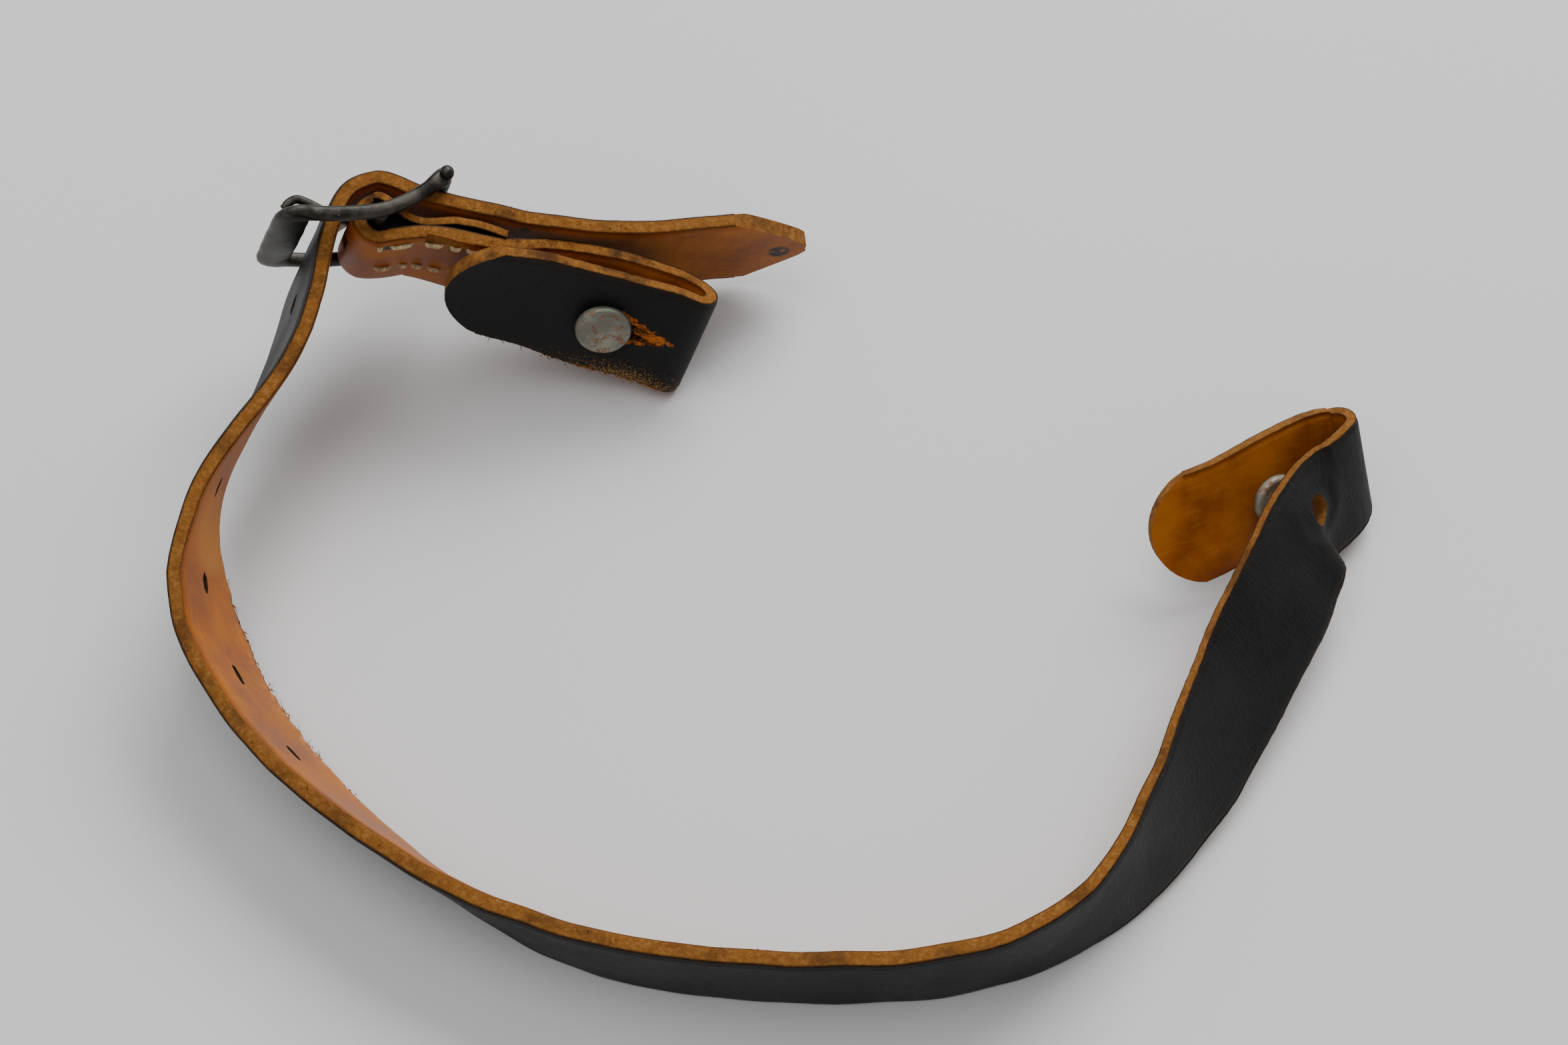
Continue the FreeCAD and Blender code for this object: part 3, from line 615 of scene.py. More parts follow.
def prism(course, s, w, outline, dirt=0.0):
    """Cutter with an outline given in mm on the leather at (s, w), through its thickness."""
    middle, normal, width, tangent = course.frame(s)
    centre = middle + width * w
    data = bmesh.new()
    rings = []
    for n in (-THICK, THICK):
        rings.append([data.verts.new((centre + tangent * x + width * y + normal * n) * MM)
                      for x, y in outline])
    skin(data, rings)
    obj = shell("cutter", data, rounded=False)
    # The cutter's value: painted shade on its walls, 0 to 1.
    obj["dirt"] = dirt
    return obj


def ragged_oval(half_x, half_y, seed, rough=0.05):
    """Hole outline, slightly uneven."""
    points = []
    for i in range(OVAL_STEPS):
        t = 2 * math.pi * i / OVAL_STEPS
        r = 1.0 + rough * 2 * noise.noise((math.cos(t) * 1.7, math.sin(t) * 1.7, seed))
        points.append((half_x * r * math.cos(t), half_y * r * math.sin(t)))
    return points


TAIL_POINT = [(0.15, 0.0), (0.0, 0.7), (0.9, 1.75), (3.0, 3.4), (5.6, 5.35), (8.2, 7.15), (9.8, 7.95),
              (11.2, 8.6)]


def waste(side, rim, length):
    """Outline of what is cut away between the rim of a strap's end and its full width."""
    points = [(CLEAR_OF_END, 0.0), *rim, (length, CLEAR_OF_RIM), (CLEAR_OF_END, CLEAR_OF_RIM)]
    return [(x, side * y) for x, y in points]


def tab_waste(side, length, towards):
    """Outline of the waste outside a tab's rounded end; the end is at x = 0, the tab beyond it."""
    quarter = [math.radians(90.0 * i / 12) for i in range(13)]
    rim = [(length * (1 - math.cos(t)), TAB_HALF * math.sin(t)) for t in quarter]
    return [(x * towards, y) for x, y in waste(side, rim, length)]


def add_fibres(obj, course, strands, seed):
    """Loose fibres; each of strands is (s, w, n, lean along, lean out, length, count, spread)."""
    rng = np.random.default_rng(seed)
    data = bmesh.new()
    data.from_mesh(obj.data)
    strap_uv, side_uv = data.loops.layers.uv["Strap"], data.loops.layers.uv["Side"]
    for s, w, n, along, outward, length, count, spread_s in strands:
        for _ in range(count):
            at_s = s + rng.uniform(-spread_s, spread_s)
            middle, normal, width, tangent = course.frame(at_s)
            root = middle + width * (w + rng.normal(0.0, 0.12)) + normal * (n + rng.normal(0.0, 0.35))
            lean = unit(tangent * (along + rng.normal(0.0, 0.6))
                        + width * (outward + rng.normal(0.0, 0.25)) + normal * rng.normal(0.0, 0.5))
            curl = unit(rng.normal(size=3))
            reach = length * rng.uniform(0.4, 1.2)
            thick = 0.10 * rng.uniform(0.5, 1.2)
            sideways = unit(np.cross(lean, curl))
            other = np.cross(lean, sideways)
            rings = []
            for x in (0.0, 0.4, 0.75, 1.0):
                centre = root + lean * (reach * x) + curl * (reach * 0.45 * x * x)
                radius = thick * (1.0 - 0.85 * x)
                centre[2] = max(centre[2], thick)
                corners = [centre + (sideways * math.cos(a) + other * math.sin(a)) * radius
                           for a in FIBRE_CORNERS]
                rings.append([data.verts.new(corner * MM) for corner in corners])
            for low, high in zip(rings, rings[1:]):
                for j in range(3):
                    face = data.faces.new((low[j], low[(j + 1) % 3], high[(j + 1) % 3], high[j]))
                    face.smooth = True
                    for loop in face.loops:
                        loop[strap_uv].uv = (at_s, w)
                        loop[side_uv].uv = (0.0, 0.0)
    data.to_mesh(obj.data)
    data.free()


def divide(obj, name, test):
    """Moves the faces that pass test(middle, s) to a new object, keeping the normals at the cut."""
    mesh = obj.data
    normals = np.empty(3 * len(mesh.loops))
    mesh.corner_normals.foreach_get("vector", normals)
    normals = normals.reshape(-1, 3)
    along = np.empty(2 * len(mesh.loops))
    mesh.uv_layers["Strap"].data.foreach_get("uv", along)
    along = along[::2]
    passed = [test(np.array(p.center) / MM, along[list(p.loop_indices)].mean()) for p in mesh.polygons]
    other = put_in_scene(name, mesh.copy())
    for target, wanted in ((obj, False), (other, True)):
        loops = []
        for polygon, hit in zip(target.data.polygons, passed):
            if hit == wanted:
                loops += list(polygon.loop_indices)
        data = bmesh.new()
        data.from_mesh(target.data)
        data.faces.ensure_lookup_table()
        unwanted = [f for f in data.faces if passed[f.index] != wanted]
        bmesh.ops.delete(data, geom=unwanted, context="FACES")
        data.to_mesh(target.data)
        data.free()
        target.data.normals_split_custom_set([tuple(v) for v in normals[loops]])
    return other


# -------- long strap
def wander(s, side, scale, amount, seed):
    return amount * noise.noise((s * scale, side * 3.1, seed))


SHOULDER = LONG_FOLD_START - 12.4


def long_thickness(s):
    return 2.25 - 0.60 * smooth(225.0, 290.0, s)


def long_edge(s, side):
    """Uneven cutting and wear of the long strap's rims."""
    out = wander(s, side, 0.11, 0.42, 1.0) + wander(s, side, 0.9, 0.10, 5.0)
    if side < 0:
        coarse = 0.70 * noise.noise((s * 0.55, 0.0, 9.0))
        fine = 0.55 * noise.noise((s * 1.7, 0.0, 12.0))
        out -= bump(s, 134.0, 30.0) * (0.10 + coarse + fine)
        out -= 1.1 * bump(s, SHOULDER - 0.1, 2.8)
    return out - 0.12 * bump(s, 34.0, 9.0)


def long_push(s, w):
    """Creases and dents of the long strap, out of its black face."""
    lift = 0.18 * noise.noise((s * 0.16, 1.0, 3.0)) * (w / 8.0)
    ring = np.hypot(s - LONG_BUTTONHOLE, w - LONG_BUTTONHOLE_RISE)
    lift = lift - 0.30 * bump(ring, 3.5, 1.0) + 0.12 * bump(ring, 4.8, 1.0)
    past = s - SHOULDER - 0.10 * np.maximum(w, 0.0)
    lift = lift + 1.0 * bump(past, -0.8, 3.2) * smooth(9.0, 1.0, w)
    lift = lift - 2.3 * smooth(-0.4, 2.2, past) * smooth(9.5, 3.0, past) * smooth(1.5, -8.0, w)
    for k in range(HOLE_COUNT):
        hole = np.hypot(s - (FIRST_HOLE + k * HOLE_PITCH), w * 1.3)
        lift = lift + (0.12 if k < 3 else 0.07) * bump(hole, 0.0, 2.4)
    return lift


long_strap = strip("long_strap_leather", long_course, 0.6, long_thickness, long_edge, long_push)
long_cuts = [(0.0, 0.0, waste(side, TAIL_POINT, TAIL_POINT[-1][0])) for side in (1, -1)]
long_cuts += [(long_course.length, 0.0, tab_waste(side, 10.5, -1.0)) for side in (1, -1)]
tongue_middle = long_course.frame(FIRST_HOLE)
tongue_offset = float((TONGUE_CROSSING - tongue_middle[0]) @ tongue_middle[2])
# The last value of a cut is how much painted shade darkens its walls.
long_cuts.append((FIRST_HOLE, tongue_offset, ragged_oval(2.4, 1.25, 1.0), 1.0))
for k in range(1, HOLE_COUNT):
    slit = ragged_oval(1.5, 0.66, 2.0 + k, 0.12)
    long_cuts.append((FIRST_HOLE + k * HOLE_PITCH, 0.6 + 0.4 * math.sin(2.3 * k), slit, 1.0))
long_cuts.append((LONG_BUTTONHOLE, LONG_BUTTONHOLE_RISE, ragged_oval(2.15, 2.05, 20.0, 0.04), 0.2))
carve(long_strap, [prism(long_course, *cut) for cut in long_cuts])
add_fibres(long_strap, long_course,
           [(126.0, -7.7, -0.6, 1.6, -0.5, 0.9, 90, 9.0), (143.0, -7.7, -0.6, -1.6, -0.5, 1.0, 130, 10.0),
            (112.0, -7.8, -0.3, 1.4, -0.6, 0.8, 40, 8.0), (40.0, 8.0, 0.0, 0.6, 1.0, 0.8, 22, 16.0),
            (225.0, -8.0, 0.0, 0.3, -1.0, 0.7, 26, 30.0), (180.0, 8.0, 0.0, 0.3, 1.0, 0.6, 30, 45.0)], 11)
long_leather = leather_material(
    "long_strap_leather",
    cracked=[(LONG_FOLD_START + 3.0, 7.0), (SHOULDER, 3.0), (FIRST_HOLE - 4.0, 6.0)],
    dark_spots=[(FIRST_HOLE + 3 * HOLE_PITCH, 0.9, 1.0), (FIRST_HOLE + 4 * HOLE_PITCH, 0.9, 0.9),
                (3.8, -0.4, 1.5), (40.0, 6.3, 0.8), (LONG_BUTTONHOLE, LONG_BUTTONHOLE_RISE, 2.9)],
    worn_bands=[(146.0, 34.0), (112.0, 16.0)],
    dirty_rims=0.60,
    # A painted sheen, low on the left arc's tan face.
    painted_sheen_spots=[(112.0, -1.0, 6.0)])
long_strap.data.materials.clear()
long_strap.data.materials.append(long_leather)

fold_middle = long_course.frame(LONG_FOLD_START)[0]
tab_middle, tab_normal, tab_width, _ = long_course.frame(LONG_STUD)
LONG_CUT = LONG_FOLD_START - 1.5
CUT_WALL = 0.02
TAB_DEPTH = 3.0
LONG_TAB_REACH = 24.0


def past_fold(p, s):
    """True for the fold and the tab beyond it; the walls of cuts carry no s, so they go by place."""
    if s > CUT_WALL:
        return bool(s > LONG_CUT)
    away = p - tab_middle
    return bool(away @ tab_normal > -TAB_DEPTH and np.linalg.norm(away) < LONG_TAB_REACH)


long_end = divide(long_strap, "long_strap_end", past_fold)
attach(long_strap, "strap")
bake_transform(long_end)
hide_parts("long_strap")
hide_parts("long_strap_tab")

# -------- short strap
TORN_START, TORN_LENGTH, TORN_HALF = SHORT_BUTTONHOLE + 2.0, 8.4, 3.1


def short_thickness(s):
    return 2.15 + (SKIVED - 2.15) * smooth(LOOP_START + (LOOP_END - LOOP_START) * 0.3, LOOP_END, s)


def short_edge(s, side):
    out = wander(s, side, 0.13, 0.36, 31.0) + wander(s, side, 0.8, 0.10, 35.0)
    if side < 0:
        frayed = bump(s, SHORT_BUTTONHOLE + 1.0, 12.0)
        out -= frayed * (0.2 + 0.45 * noise.noise((s * 1.1, 0.0, 39.0)))
    return out


def short_push(s, w):
    ring = np.hypot(s - SHORT_BUTTONHOLE, w)
    lift = 0.10 * noise.noise((s * 0.2, 0.0, 41.0)) * (w / 8.0) - 0.10 * bump(ring, 3.6, 1.4)
    along = (s - TORN_START) / TORN_LENGTH
    lip = bump(np.abs(w - 0.15), TORN_HALF * (1.0 - along), 1.0)
    return lift + 0.28 * lip if 0.0 < along < 1.0 else lift


short_strap = strip("short_strap_leather", short_course, 0.45, short_thickness, short_edge, short_push)
TEAR = [(0.0, 1.3), (2.6, 1.75), (4.6, 1.25), (6.9, 1.05), (5.2, 0.55), (4.2, 0.25), (5.6, -0.05),
        (8.2, -0.55), (5.4, -0.80), (4.0, -1.0), (2.2, -1.2), (0.0, -1.3)]
short_cuts = [(0.0, 0.0, tab_waste(side, 10.5, 1.0)) for side in (1, -1)]
# The last value of a cut is how much painted shade darkens its walls.
short_cuts += [(SHORT_BUTTONHOLE, 0.0, ragged_oval(2.1, 2.1, 50.0, 0.04), 0.5),
               (SHORT_BUTTONHOLE, 0.0, TEAR, 0.35)]


def block_cutter(low, high):
    """Cutter with sides along the buckle's axes, from low to high in (u, v, w)."""
    bpy.ops.mesh.primitive_cube_add(size=1.0)
    obj = bpy.context.object
    size = np.array(high) - np.array(low)
    centre = bar_point(*((np.array(high) + np.array(low)) / 2))
    axes = np.column_stack([bar_along * size[0], bar_out * size[1], bar_width * size[2]])
    turn = Matrix((axes * MM).tolist()).to_4x4()
    obj.data.transform(Matrix.Translation(Vector(centre * MM)) @ turn)
    obj.data.update()
    return obj


tongue_slot = block_cutter((-9.7, -1.0, -1.7), (2.3, 4.8, 1.7))
carve(short_strap, [prism(short_course, *cut) for cut in short_cuts] + [tongue_slot])
add_fibres(short_strap, short_course,
           [(SHORT_BUTTONHOLE + 2.0, -7.8, 0.6, 1.5, -0.5, 0.8, 190, 9.0),
            (SHORT_BUTTONHOLE - 12.0, -7.6, 0.6, 0.3, -1.0, 0.6, 30, 4.0),
            (SHORT_BUTTONHOLE + 5.2, 1.0, 1.1, 0.3, -0.6, 1.2, 34, 1.6),
            (SHORT_BUTTONHOLE + 5.6, -0.7, 1.0, 0.8, 0.6, 1.1, 26, 2.2),
            (LOOP_START - 20.0, 8.0, 0.0, 0.3, 1.0, 0.6, 40, 18.0)], 23)
short_leather = leather_material(
    "short_strap_leather",
    cracked=[(SHORT_FOLD_START - 2.0, 8.0), (SHORT_BUTTONHOLE + 4.0, 4.5)],
    dark_spots=[(LOOP_START - 2.7, 6.0, 0.9), (LOOP_START - 24.0, 4.0, 1.0)],
    worn_bands=[(SHORT_BUTTONHOLE + 6.0, 17.0)],
    dirty_rims=0.95,
    torn=(TORN_START, TORN_LENGTH, TORN_HALF))
short_strap.data.materials.clear()
short_strap.data.materials.append(short_leather)

turn_middle = short_course.frame(SHORT_FOLD_START)[0]
SHORT_CUT = SHORT_FOLD_END + 1.5
SHORT_TAB_REACH = 36.0


def before_fold(p, s):
    """True for the short strap's tab and fold."""
    if s > CUT_WALL:
        return bool(s < SHORT_CUT)
    return bool(np.linalg.norm(p - turn_middle) < SHORT_TAB_REACH)


short_tab = divide(short_strap, "short_strap_end", before_fold)
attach(short_strap, "short_strap")
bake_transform(short_tab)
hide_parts("short_strap")
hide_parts("short_strap_tab")

# -------- metal
def metal_material(name, dark, light, rust_amount, rough, metallic):
    """Old metal: mottled tarnish, rust in specks, fine scratch lines in the relief of a worn surface."""
    material, shader = new_material(name)
    g = Graph(material)
    at = g.position()
    cloud = g.noise(at, 260.0, 6.0, 0.62)
    fine = g.noise(at, 1500.0, 4.0, 0.6)
    speck = g.noise(at, 850.0, 5.0, 0.72)
    colour = g.mix(g.ramp(cloud, 0.34, 0.68), dark, light)
    rust = g.ramp(g.plus(speck, g.times(cloud, 0.25)), 0.78 - rust_amount, 0.86 - rust_amount)
    rust_colour = g.mix(g.ramp(fine, 0.35, 0.65), (0.13, 0.045, 0.02, 1.0), (0.30, 0.13, 0.05, 1.0))
    colour = g.mix(g.times(rust, 0.9), colour, rust_colour)
    g.put(shader.inputs["Base Color"], colour)
    g.put(shader.inputs["Metallic"], g.minus(metallic, g.times(rust, metallic), clamp=True))
    g.put(shader.inputs["Roughness"], g.plus(g.ramp(cloud, 0.3, 0.75, rough, rough + 0.18),
                                             g.times(rust, 0.25), clamp=True))
    pits = g.bump(g.minus(fine, g.times(rust, 0.8)), 0.00006, 0.7)
    lines = g.noise(at, 420.0, 3.0, 0.5, stretch=(1.0, 7.0, 7.0))
    g.put(shader.inputs["Normal"], g.bump(lines, 0.00003, 0.5, pits))
    return material


def tube(name, points, axes_u, axes_v, half_u, half_v, closed=False, sides=18, square=2.0):
    """Bar along points (mm), half_u by half_v along the given axes; square is 2 for a round one."""
    data = bmesh.new()
    rings = []
    for i, p in enumerate(points):
        ring = []
        for k in range(sides):
            t = 2 * math.pi * (k + 0.5) / sides
            cosine, sine = math.cos(t), math.sin(t)
            x = math.copysign(abs(cosine) ** (2 / square), cosine) * half_u[i]
            y = math.copysign(abs(sine) ** (2 / square), sine) * half_v[i]
            ring.append(data.verts.new((p + axes_u[i] * x + axes_v[i] * y) * MM))
        rings.append(ring)
    skin(data, rings, closed)
    return shell(name, data)


CURVE_STEPS = 24


def resample(points, step, closed=False):
    """Evenly spaced points and tangents along a Catmull-Rom curve through points."""
    points = np.array(points, float)
    if closed:
        padded = np.vstack([points[-1], points, points[:2]])
    else:
        padded = np.vstack([2 * points[0] - points[1], points, 2 * points[-1] - points[-2]])
    fine = []
    for i in range(1, len(padded) - 2):
        p0, p1, p2, p3 = padded[i - 1:i + 3]
        for t in np.linspace(0, 1, CURVE_STEPS, endpoint=False):
            fine.append(0.5 * (2 * p1 + (p2 - p0) * t + (2 * p0 - 5 * p1 + 4 * p2 - p3) * t * t
                               + (3 * p1 - p0 - 3 * p2 + p3) * t ** 3))
    fine = np.array(fine + [points[0] if closed else points[-1]])
    far = np.concatenate([[0], np.cumsum(np.linalg.norm(np.diff(fine, axis=0), axis=1))])
    count = max(4, int(round(far[-1] / step)))
    at = np.linspace(0, far[-1], count + 1)
    if closed:
        at = at[:-1]
    result = np.column_stack([np.interp(at, far, fine[:, k]) for k in range(3)])
    if closed:
        tangent = np.roll(result, -1, axis=0) - np.roll(result, 1, axis=0)
    else:
        tangent = np.gradient(result, axis=0)
    return result, tangent / np.linalg.norm(tangent, axis=1, keepdims=True)


def rail_v(u):
    return float(np.interp(u, [p[0] for p in RAIL_PROFILE], [p[1] for p in RAIL_PROFILE]))


buckle_metal = metal_material("buckle_metal", (0.016, 0.0145, 0.0125, 1.0), (0.072, 0.066, 0.056, 1.0),
                              0.0, 0.38, 0.85)
FRONT, BACK, HALF = RAIL_PROFILE[0][0], RAIL_PROFILE[-1][0], FRAME_HALF_WIDTH
corner = 1.7


def front_u(w):
    """The front bar leans: its lower end is further out."""
    return FRONT + 0.15 + 0.04 * w


def rail(side):
    """The upper rail (side 1) or the lower one (side -1) with its corners, from front to back."""
    front = front_u(side * HALF)
    points = [(front + 0.5, HALF - 0.5), (front + corner, HALF)]
    points += [(u, HALF) for u in (-6.4, -3.2, 0.0, 3.2, 6.4)]
    points += [(BACK - corner, HALF), (BACK - 0.4, HALF - 0.4)]
    return [(u, side * w) for u, w in points]


heights = (-HALF + corner, -HALF / 2, 0.0, HALF / 2, HALF - corner)
outline = [(front_u(w), w) for w in heights] + rail(1.0)
outline += [(BACK, w) for w in heights[::-1]] + rail(-1.0)[::-1]
loop_points, loop_tangent = resample([bar_point(u, rail_v(u), w) for u, w in outline], 0.5, closed=True)
loop_u = (loop_points - BAR) @ bar_along
loop_w = (loop_points - BAR) @ bar_width
broad = smooth(2.4, 0.7, loop_u - front_u(loop_w))
across_axis = [unit(np.cross(bar_out, t)) for t in loop_tangent]
out_axis = [np.cross(t, a) for t, a in zip(loop_tangent, across_axis)]
middle_bulge = 1.0 - 0.10 * (loop_w / HALF) ** 2
half_across = 0.96 + broad * 1.50 * middle_bulge + 0.03 * np.sin(loop_w * 1.3)
half_out = 0.94 - broad * 0.10 + 0.30 * smooth(BACK - 3.0, BACK, loop_u)
buckle = tube("buckle_frame_worn", loop_points, across_axis, out_axis, half_across, half_out,
              closed=True, square=2.7)
bar_points, _ = resample([bar_point(0.0, 0.0, w) for w in (-HALF, -5.0, 0.0, 5.0, HALF)], 0.6)
bar_count = len(bar_points)
bar_half = [0.99] * bar_count
centre_bar = tube("buckle_centre_bar", bar_points, [bar_along] * bar_count, [bar_out] * bar_count,
                  bar_half, bar_half)
NUB_HALF = [0.98, 0.98, 0.90, 0.66, 0.25]
nubs = []
for level, end in (("upper", 1.0), ("lower", -1.0)):
    w0 = end * (HALF + 0.1)
    nub_points = [bar_point(BACK, rail_v(BACK), w0 + end * d) for d in (0.0, 0.5, 1.0, 1.35, 1.55)]
    nubs.append(tube(f"buckle_nub_{level}", nub_points, [bar_along] * 5, [bar_out] * 5,
                     NUB_HALF, NUB_HALF))
tongue_line, tongue_tangent = resample([bar_point(u, v) for u, v in TONGUE_PROFILE], 0.3)
tongue_far = np.linspace(0.0, 1.0, len(tongue_line))
side_axis = [bar_width] * len(tongue_line)
top_axis = [unit(np.cross(t, bar_width)) for t in tongue_tangent]
tongue_half_w = 0.74 - 0.16 * smooth(0.55, 1.0, tongue_far) - 0.30 * smooth(0.94, 1.0, tongue_far)
tongue_half_t = 0.58 - 0.20 * smooth(0.93, 1.0, tongue_far)
tongue = tube("buckle_tongue_worn", tongue_line, side_axis, top_axis, tongue_half_w, tongue_half_t,
              square=2.4)
RING_RADIUS, RING_HALF_WIDTH, RING_HALF_THICK, RING_STEPS = 1.22, 1.28, 0.20, 32
ring_points = [bar_along * math.cos(t) * RING_RADIUS + bar_out * math.sin(t) * RING_RADIUS + BAR
               for t in np.linspace(0, 2 * math.pi, RING_STEPS + 1)[:-1]]
ring_axis = [unit(p - BAR) for p in ring_points]
ring = tube("buckle_tongue_ring", ring_points, [bar_width] * RING_STEPS, ring_axis,
            [RING_HALF_WIDTH] * RING_STEPS, [RING_HALF_THICK] * RING_STEPS, closed=True, square=3.2)
for piece, body in ((buckle, "buckle"), (centre_bar, "buckle"), (nubs[0], "buckle"), (nubs[1], "buckle"),
                    (tongue, "tongue"), (ring, "tongue")):
    piece.data.materials.append(buckle_metal)
    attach(piece, body)
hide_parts("buckle_frame")
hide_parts("buckle_frame")
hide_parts("buckle_tongue")


# -------- studs
TURN_STEPS = 64
DENT = 0.03


def lathe(name, place, axes, profile, seed):
    """Turned piece: profile is (radius, height) in mm along the third axis."""
    x, y, z = axes
    data = bmesh.new()
    rings = []
    for radius, height in profile:
        ring = []
        for k in range(TURN_STEPS):
            t = 2 * math.pi * k / TURN_STEPS
            cosine, sine = math.cos(t), math.sin(t)
            r = radius * (1.0 + DENT * 0.4 * noise.noise((cosine * 1.3, sine * 1.3, seed)))
            p = place + x * (r * cosine) + y * (r * sine)
            h = height + DENT * 2 * noise.noise((r * cosine * 0.5, r * sine * 0.5, seed + 4.0))
            ring.append(data.verts.new((p + z * h) * MM))
        rings.append(ring)
    skin(data, rings)
    return shell(name, data)


STUD_RIM = [(0.4, 0.0), (0.08, 0.10), (0.0, 0.34), (0.03, 0.72), (0.18, 1.02), (0.42, 1.16), (0.70, 1.14),
            (0.92, 1.00), (1.25, 0.96)]


def stud_profile(foot, top, head):
    """Post, neck and a flat head with a raised rim, from the foot up."""
    post = [(0.98, -foot), (0.98, foot), (1.55, foot + 0.05), (1.55, top - 0.02)]
    rim = [(head - inward, top + rise) for inward, rise in STUD_RIM]
    return post + rim + [(head * 0.45, top + 1.06), (head * 0.18, top + 1.10), (0.12, top + 1.11)]


stud_metal = metal_material("stud_metal", (0.14, 0.145, 0.115, 1.0), (0.29, 0.295, 0.24, 1.0),
                            0.12, 0.44, 0.6)
stud_dark = metal_material("stud_metal_dark", (0.06, 0.055, 0.05, 1.0), (0.20, 0.18, 0.15, 1.0),
                           0.16, 0.5, 0.6)


def stud_axes(outward, width):
    z = unit(outward)
    x = unit(width - z * (width @ z))
    return x, np.cross(z, x), z


hole_middle, hole_normal, hole_width, _ = short_course.frame(SHORT_BUTTONHOLE)
seats = np.linspace(SHORT_FOLD_END, LOOP_START, 400)
seat_middle, seat_normal, _, _ = short_course.frame(seats)
away = seat_middle - hole_middle
flat = away - np.outer(away @ hole_normal, hole_normal)
seat = int(np.argmin(np.linalg.norm(flat, axis=1)))
drop = float((hole_middle - seat_middle[seat]) @ seat_normal[seat] / (hole_normal @ seat_normal[seat]))
short_stud_at = hole_middle - hole_normal * drop
STUD_FOOT = THICK / 2 + 0.3
short_top = abs(drop) + THICK / 2 + STUD_LIFT - 0.35
BURR = [(1.05, 0.0), (2.85, 0.0), (3.08, 0.18), (3.08, 0.45), (2.8, 0.66), (2.2, 0.62), (1.6, 0.45),
        (1.25, 0.60), (0.7, 0.75), (0.1, 0.78)]
short_head = lathe("short_stud_worn", short_stud_at, stud_axes(hole_normal, hole_width),
                   stud_profile(STUD_FOOT, short_top, STUD_HEAD_RADIUS), 60.0)
long_head = lathe("long_stud_worn", tab_middle, stud_axes(-tab_normal, tab_width),
                  stud_profile(STUD_FOOT, THICK / 2 + LONG_NECK, LONG_HEAD_RADIUS), 70.0)
short_base = lathe("short_stud_burr", short_stud_at - hole_normal * STUD_FOOT,
                   stud_axes(-hole_normal, hole_width), BURR, 64.0)
long_base = lathe("long_stud_burr", tab_middle + tab_normal * (THICK / 2 + 0.1),
                  stud_axes(tab_normal, tab_width), BURR, 74.0)
for piece, node, body, metal in ((short_head, "short_stud_head", "short_strap", stud_metal),
                                 (short_base, "short_stud_base", "short_strap", stud_dark),
                                 (long_head, "long_stud_head", "long_tab", stud_metal),
                                 (long_base, "long_stud_base", "long_tab", stud_dark)):
    piece.data.materials.append(metal)
    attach(piece, body)
    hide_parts(node)

# -------- stitching
SEAM_INSET, STITCH_PITCH, STITCH_LENGTH, THREAD = 1.0, 2.7, 1.7, 0.33
THREAD_POINTS = 11


def mottled_material(name, scale, uneven, low, high, dark, light, rough, relief=None):
    """Two mottled colours, with a fine relief where one is asked for."""
    material, shader = new_material(name)
    g = Graph(material)
    tone = g.noise(g.position(), scale, 3.0, uneven)
    g.put(shader.inputs["Base Color"], g.mix(g.ramp(tone, low, high), dark, light))
    shader.inputs["Roughness"].default_value = rough
    if relief is not None:
        g.put(shader.inputs["Normal"], g.bump(tone, relief, 0.8))
    return material


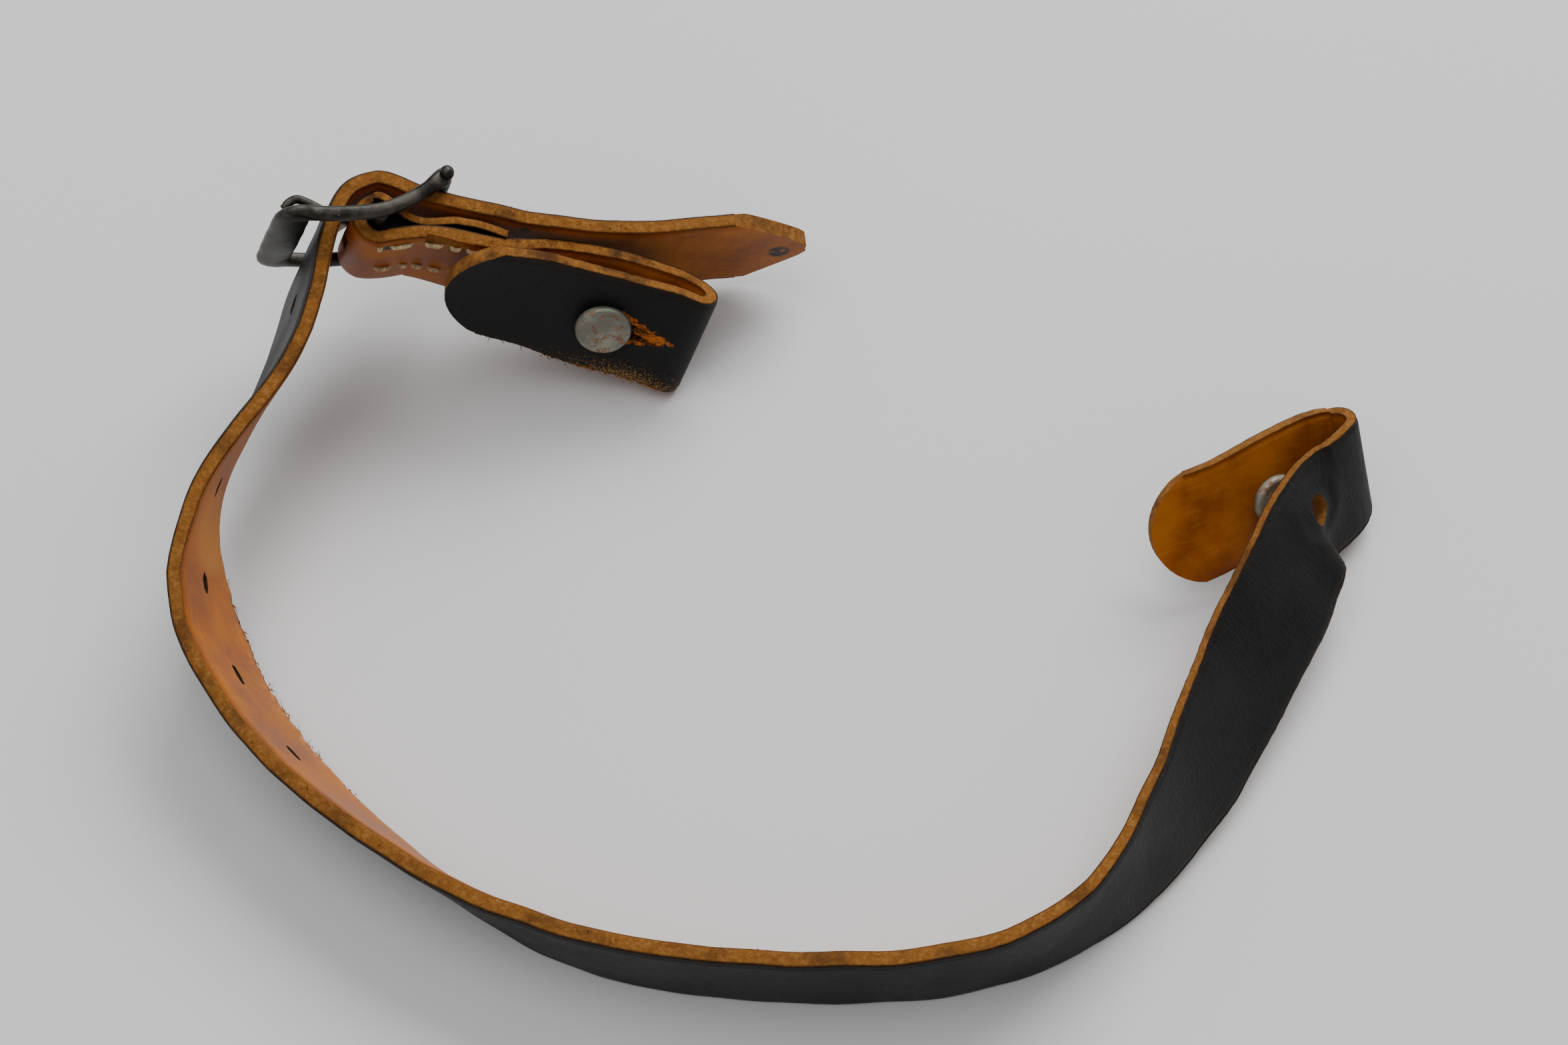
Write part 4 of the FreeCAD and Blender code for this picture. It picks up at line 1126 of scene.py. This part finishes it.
thread = mottled_material("waxed_thread", 1800.0, 0.6, 0.35, 0.65, (0.30, 0.20, 0.09, 1.0),
                          (0.62, 0.50, 0.28, 1.0), 0.62, relief=0.00008)
for node, row_w, count in (("stitching_upper", 6.4, 7), ("stitching_lower", -2.4, 5)):
    pieces = []
    for k in range(count):
        at = LOOP_START - SEAM_INSET - k * STITCH_PITCH
        line = []
        for x in np.linspace(-1.0, 1.0, THREAD_POINTS):
            m, n, w, _ = short_course.frame(at + x * STITCH_LENGTH * 0.56)
            arch = 0.16 * (1.0 - x * x) - 0.30 * smooth(0.7, 1.0, abs(x))
            line.append(m - n * (THICK / 2 + arch) + w * (row_w + 0.05 * math.sin(5.0 * k + x)))
        half = THREAD - THREAD * 0.45 * smooth(0.75, 1.0, np.abs(np.linspace(-1.0, 1.0, THREAD_POINTS)))
        _, n, w, _ = short_course.frame(at)
        pieces.append(tube(f"{node}_{k}", line, [w] * THREAD_POINTS, [n] * THREAD_POINTS, half, half,
                           sides=10))
    joined = bmesh.new()
    for piece in pieces:
        joined.from_mesh(piece.data)
        bpy.data.objects.remove(piece)
    row = shell(f"{node}_thread", joined)
    row.data.materials.append(thread)
    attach(row, "short_strap")
    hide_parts(node)

# -------- floor, light and camera
floor_material = mottled_material("pale_floor", 2.2, 0.5, 0.3, 0.7, (0.60, 0.60, 0.605, 1.0),
                                  (0.64, 0.64, 0.645, 1.0), 0.75)
floor_mesh = bpy.data.meshes.new("floor")
reach = 3.0
corners = [(-reach, -reach, 0.0), (reach, -reach, 0.0), (reach, reach, 0.0), (-reach, reach, 0.0)]
floor_mesh.from_pydata(corners, [], [(0, 1, 2, 3)])
floor = put_in_scene("floor", floor_mesh)
floor.data.materials.append(floor_material)

world = bpy.data.worlds.new("studio")
bpy.context.scene.world = world
world.use_nodes = True
background = world.node_tree.nodes["Background"]
background.inputs[0].default_value = (1.0, 1.0, 1.0, 1.0)
background.inputs[1].default_value = 0.42


def area_light(name, place, size, power):
    """Light that faces the origin."""
    data = bpy.data.lights.new(name, "AREA")
    data.shape = "RECTANGLE"
    data.size, data.size_y = size
    data.energy = power
    obj = put_in_scene(name, data)
    obj.location = place
    obj.rotation_euler = (-Vector(place)).to_track_quat("-Z", "Y").to_euler()


area_light("window", (0.35, 0.75, 0.85), (0.8, 0.6), 15.0)
area_light("ceiling", (-0.25, -0.05, 1.1), (0.9, 0.9), 6.0)

camera_data = bpy.data.cameras.new("camera")
camera_data.lens = 60.0
camera_data.sensor_width = 36.0
camera_data.clip_start = 0.01
camera = put_in_scene("camera", camera_data)
camera.location = tuple((np.array((0.0, -175.0, 303.1)) - ORIGIN) * MM)
camera.rotation_euler = Vector((0.0, 0.5, -0.866)).to_track_quat("-Z", "Y").to_euler()
bpy.context.scene.camera = camera
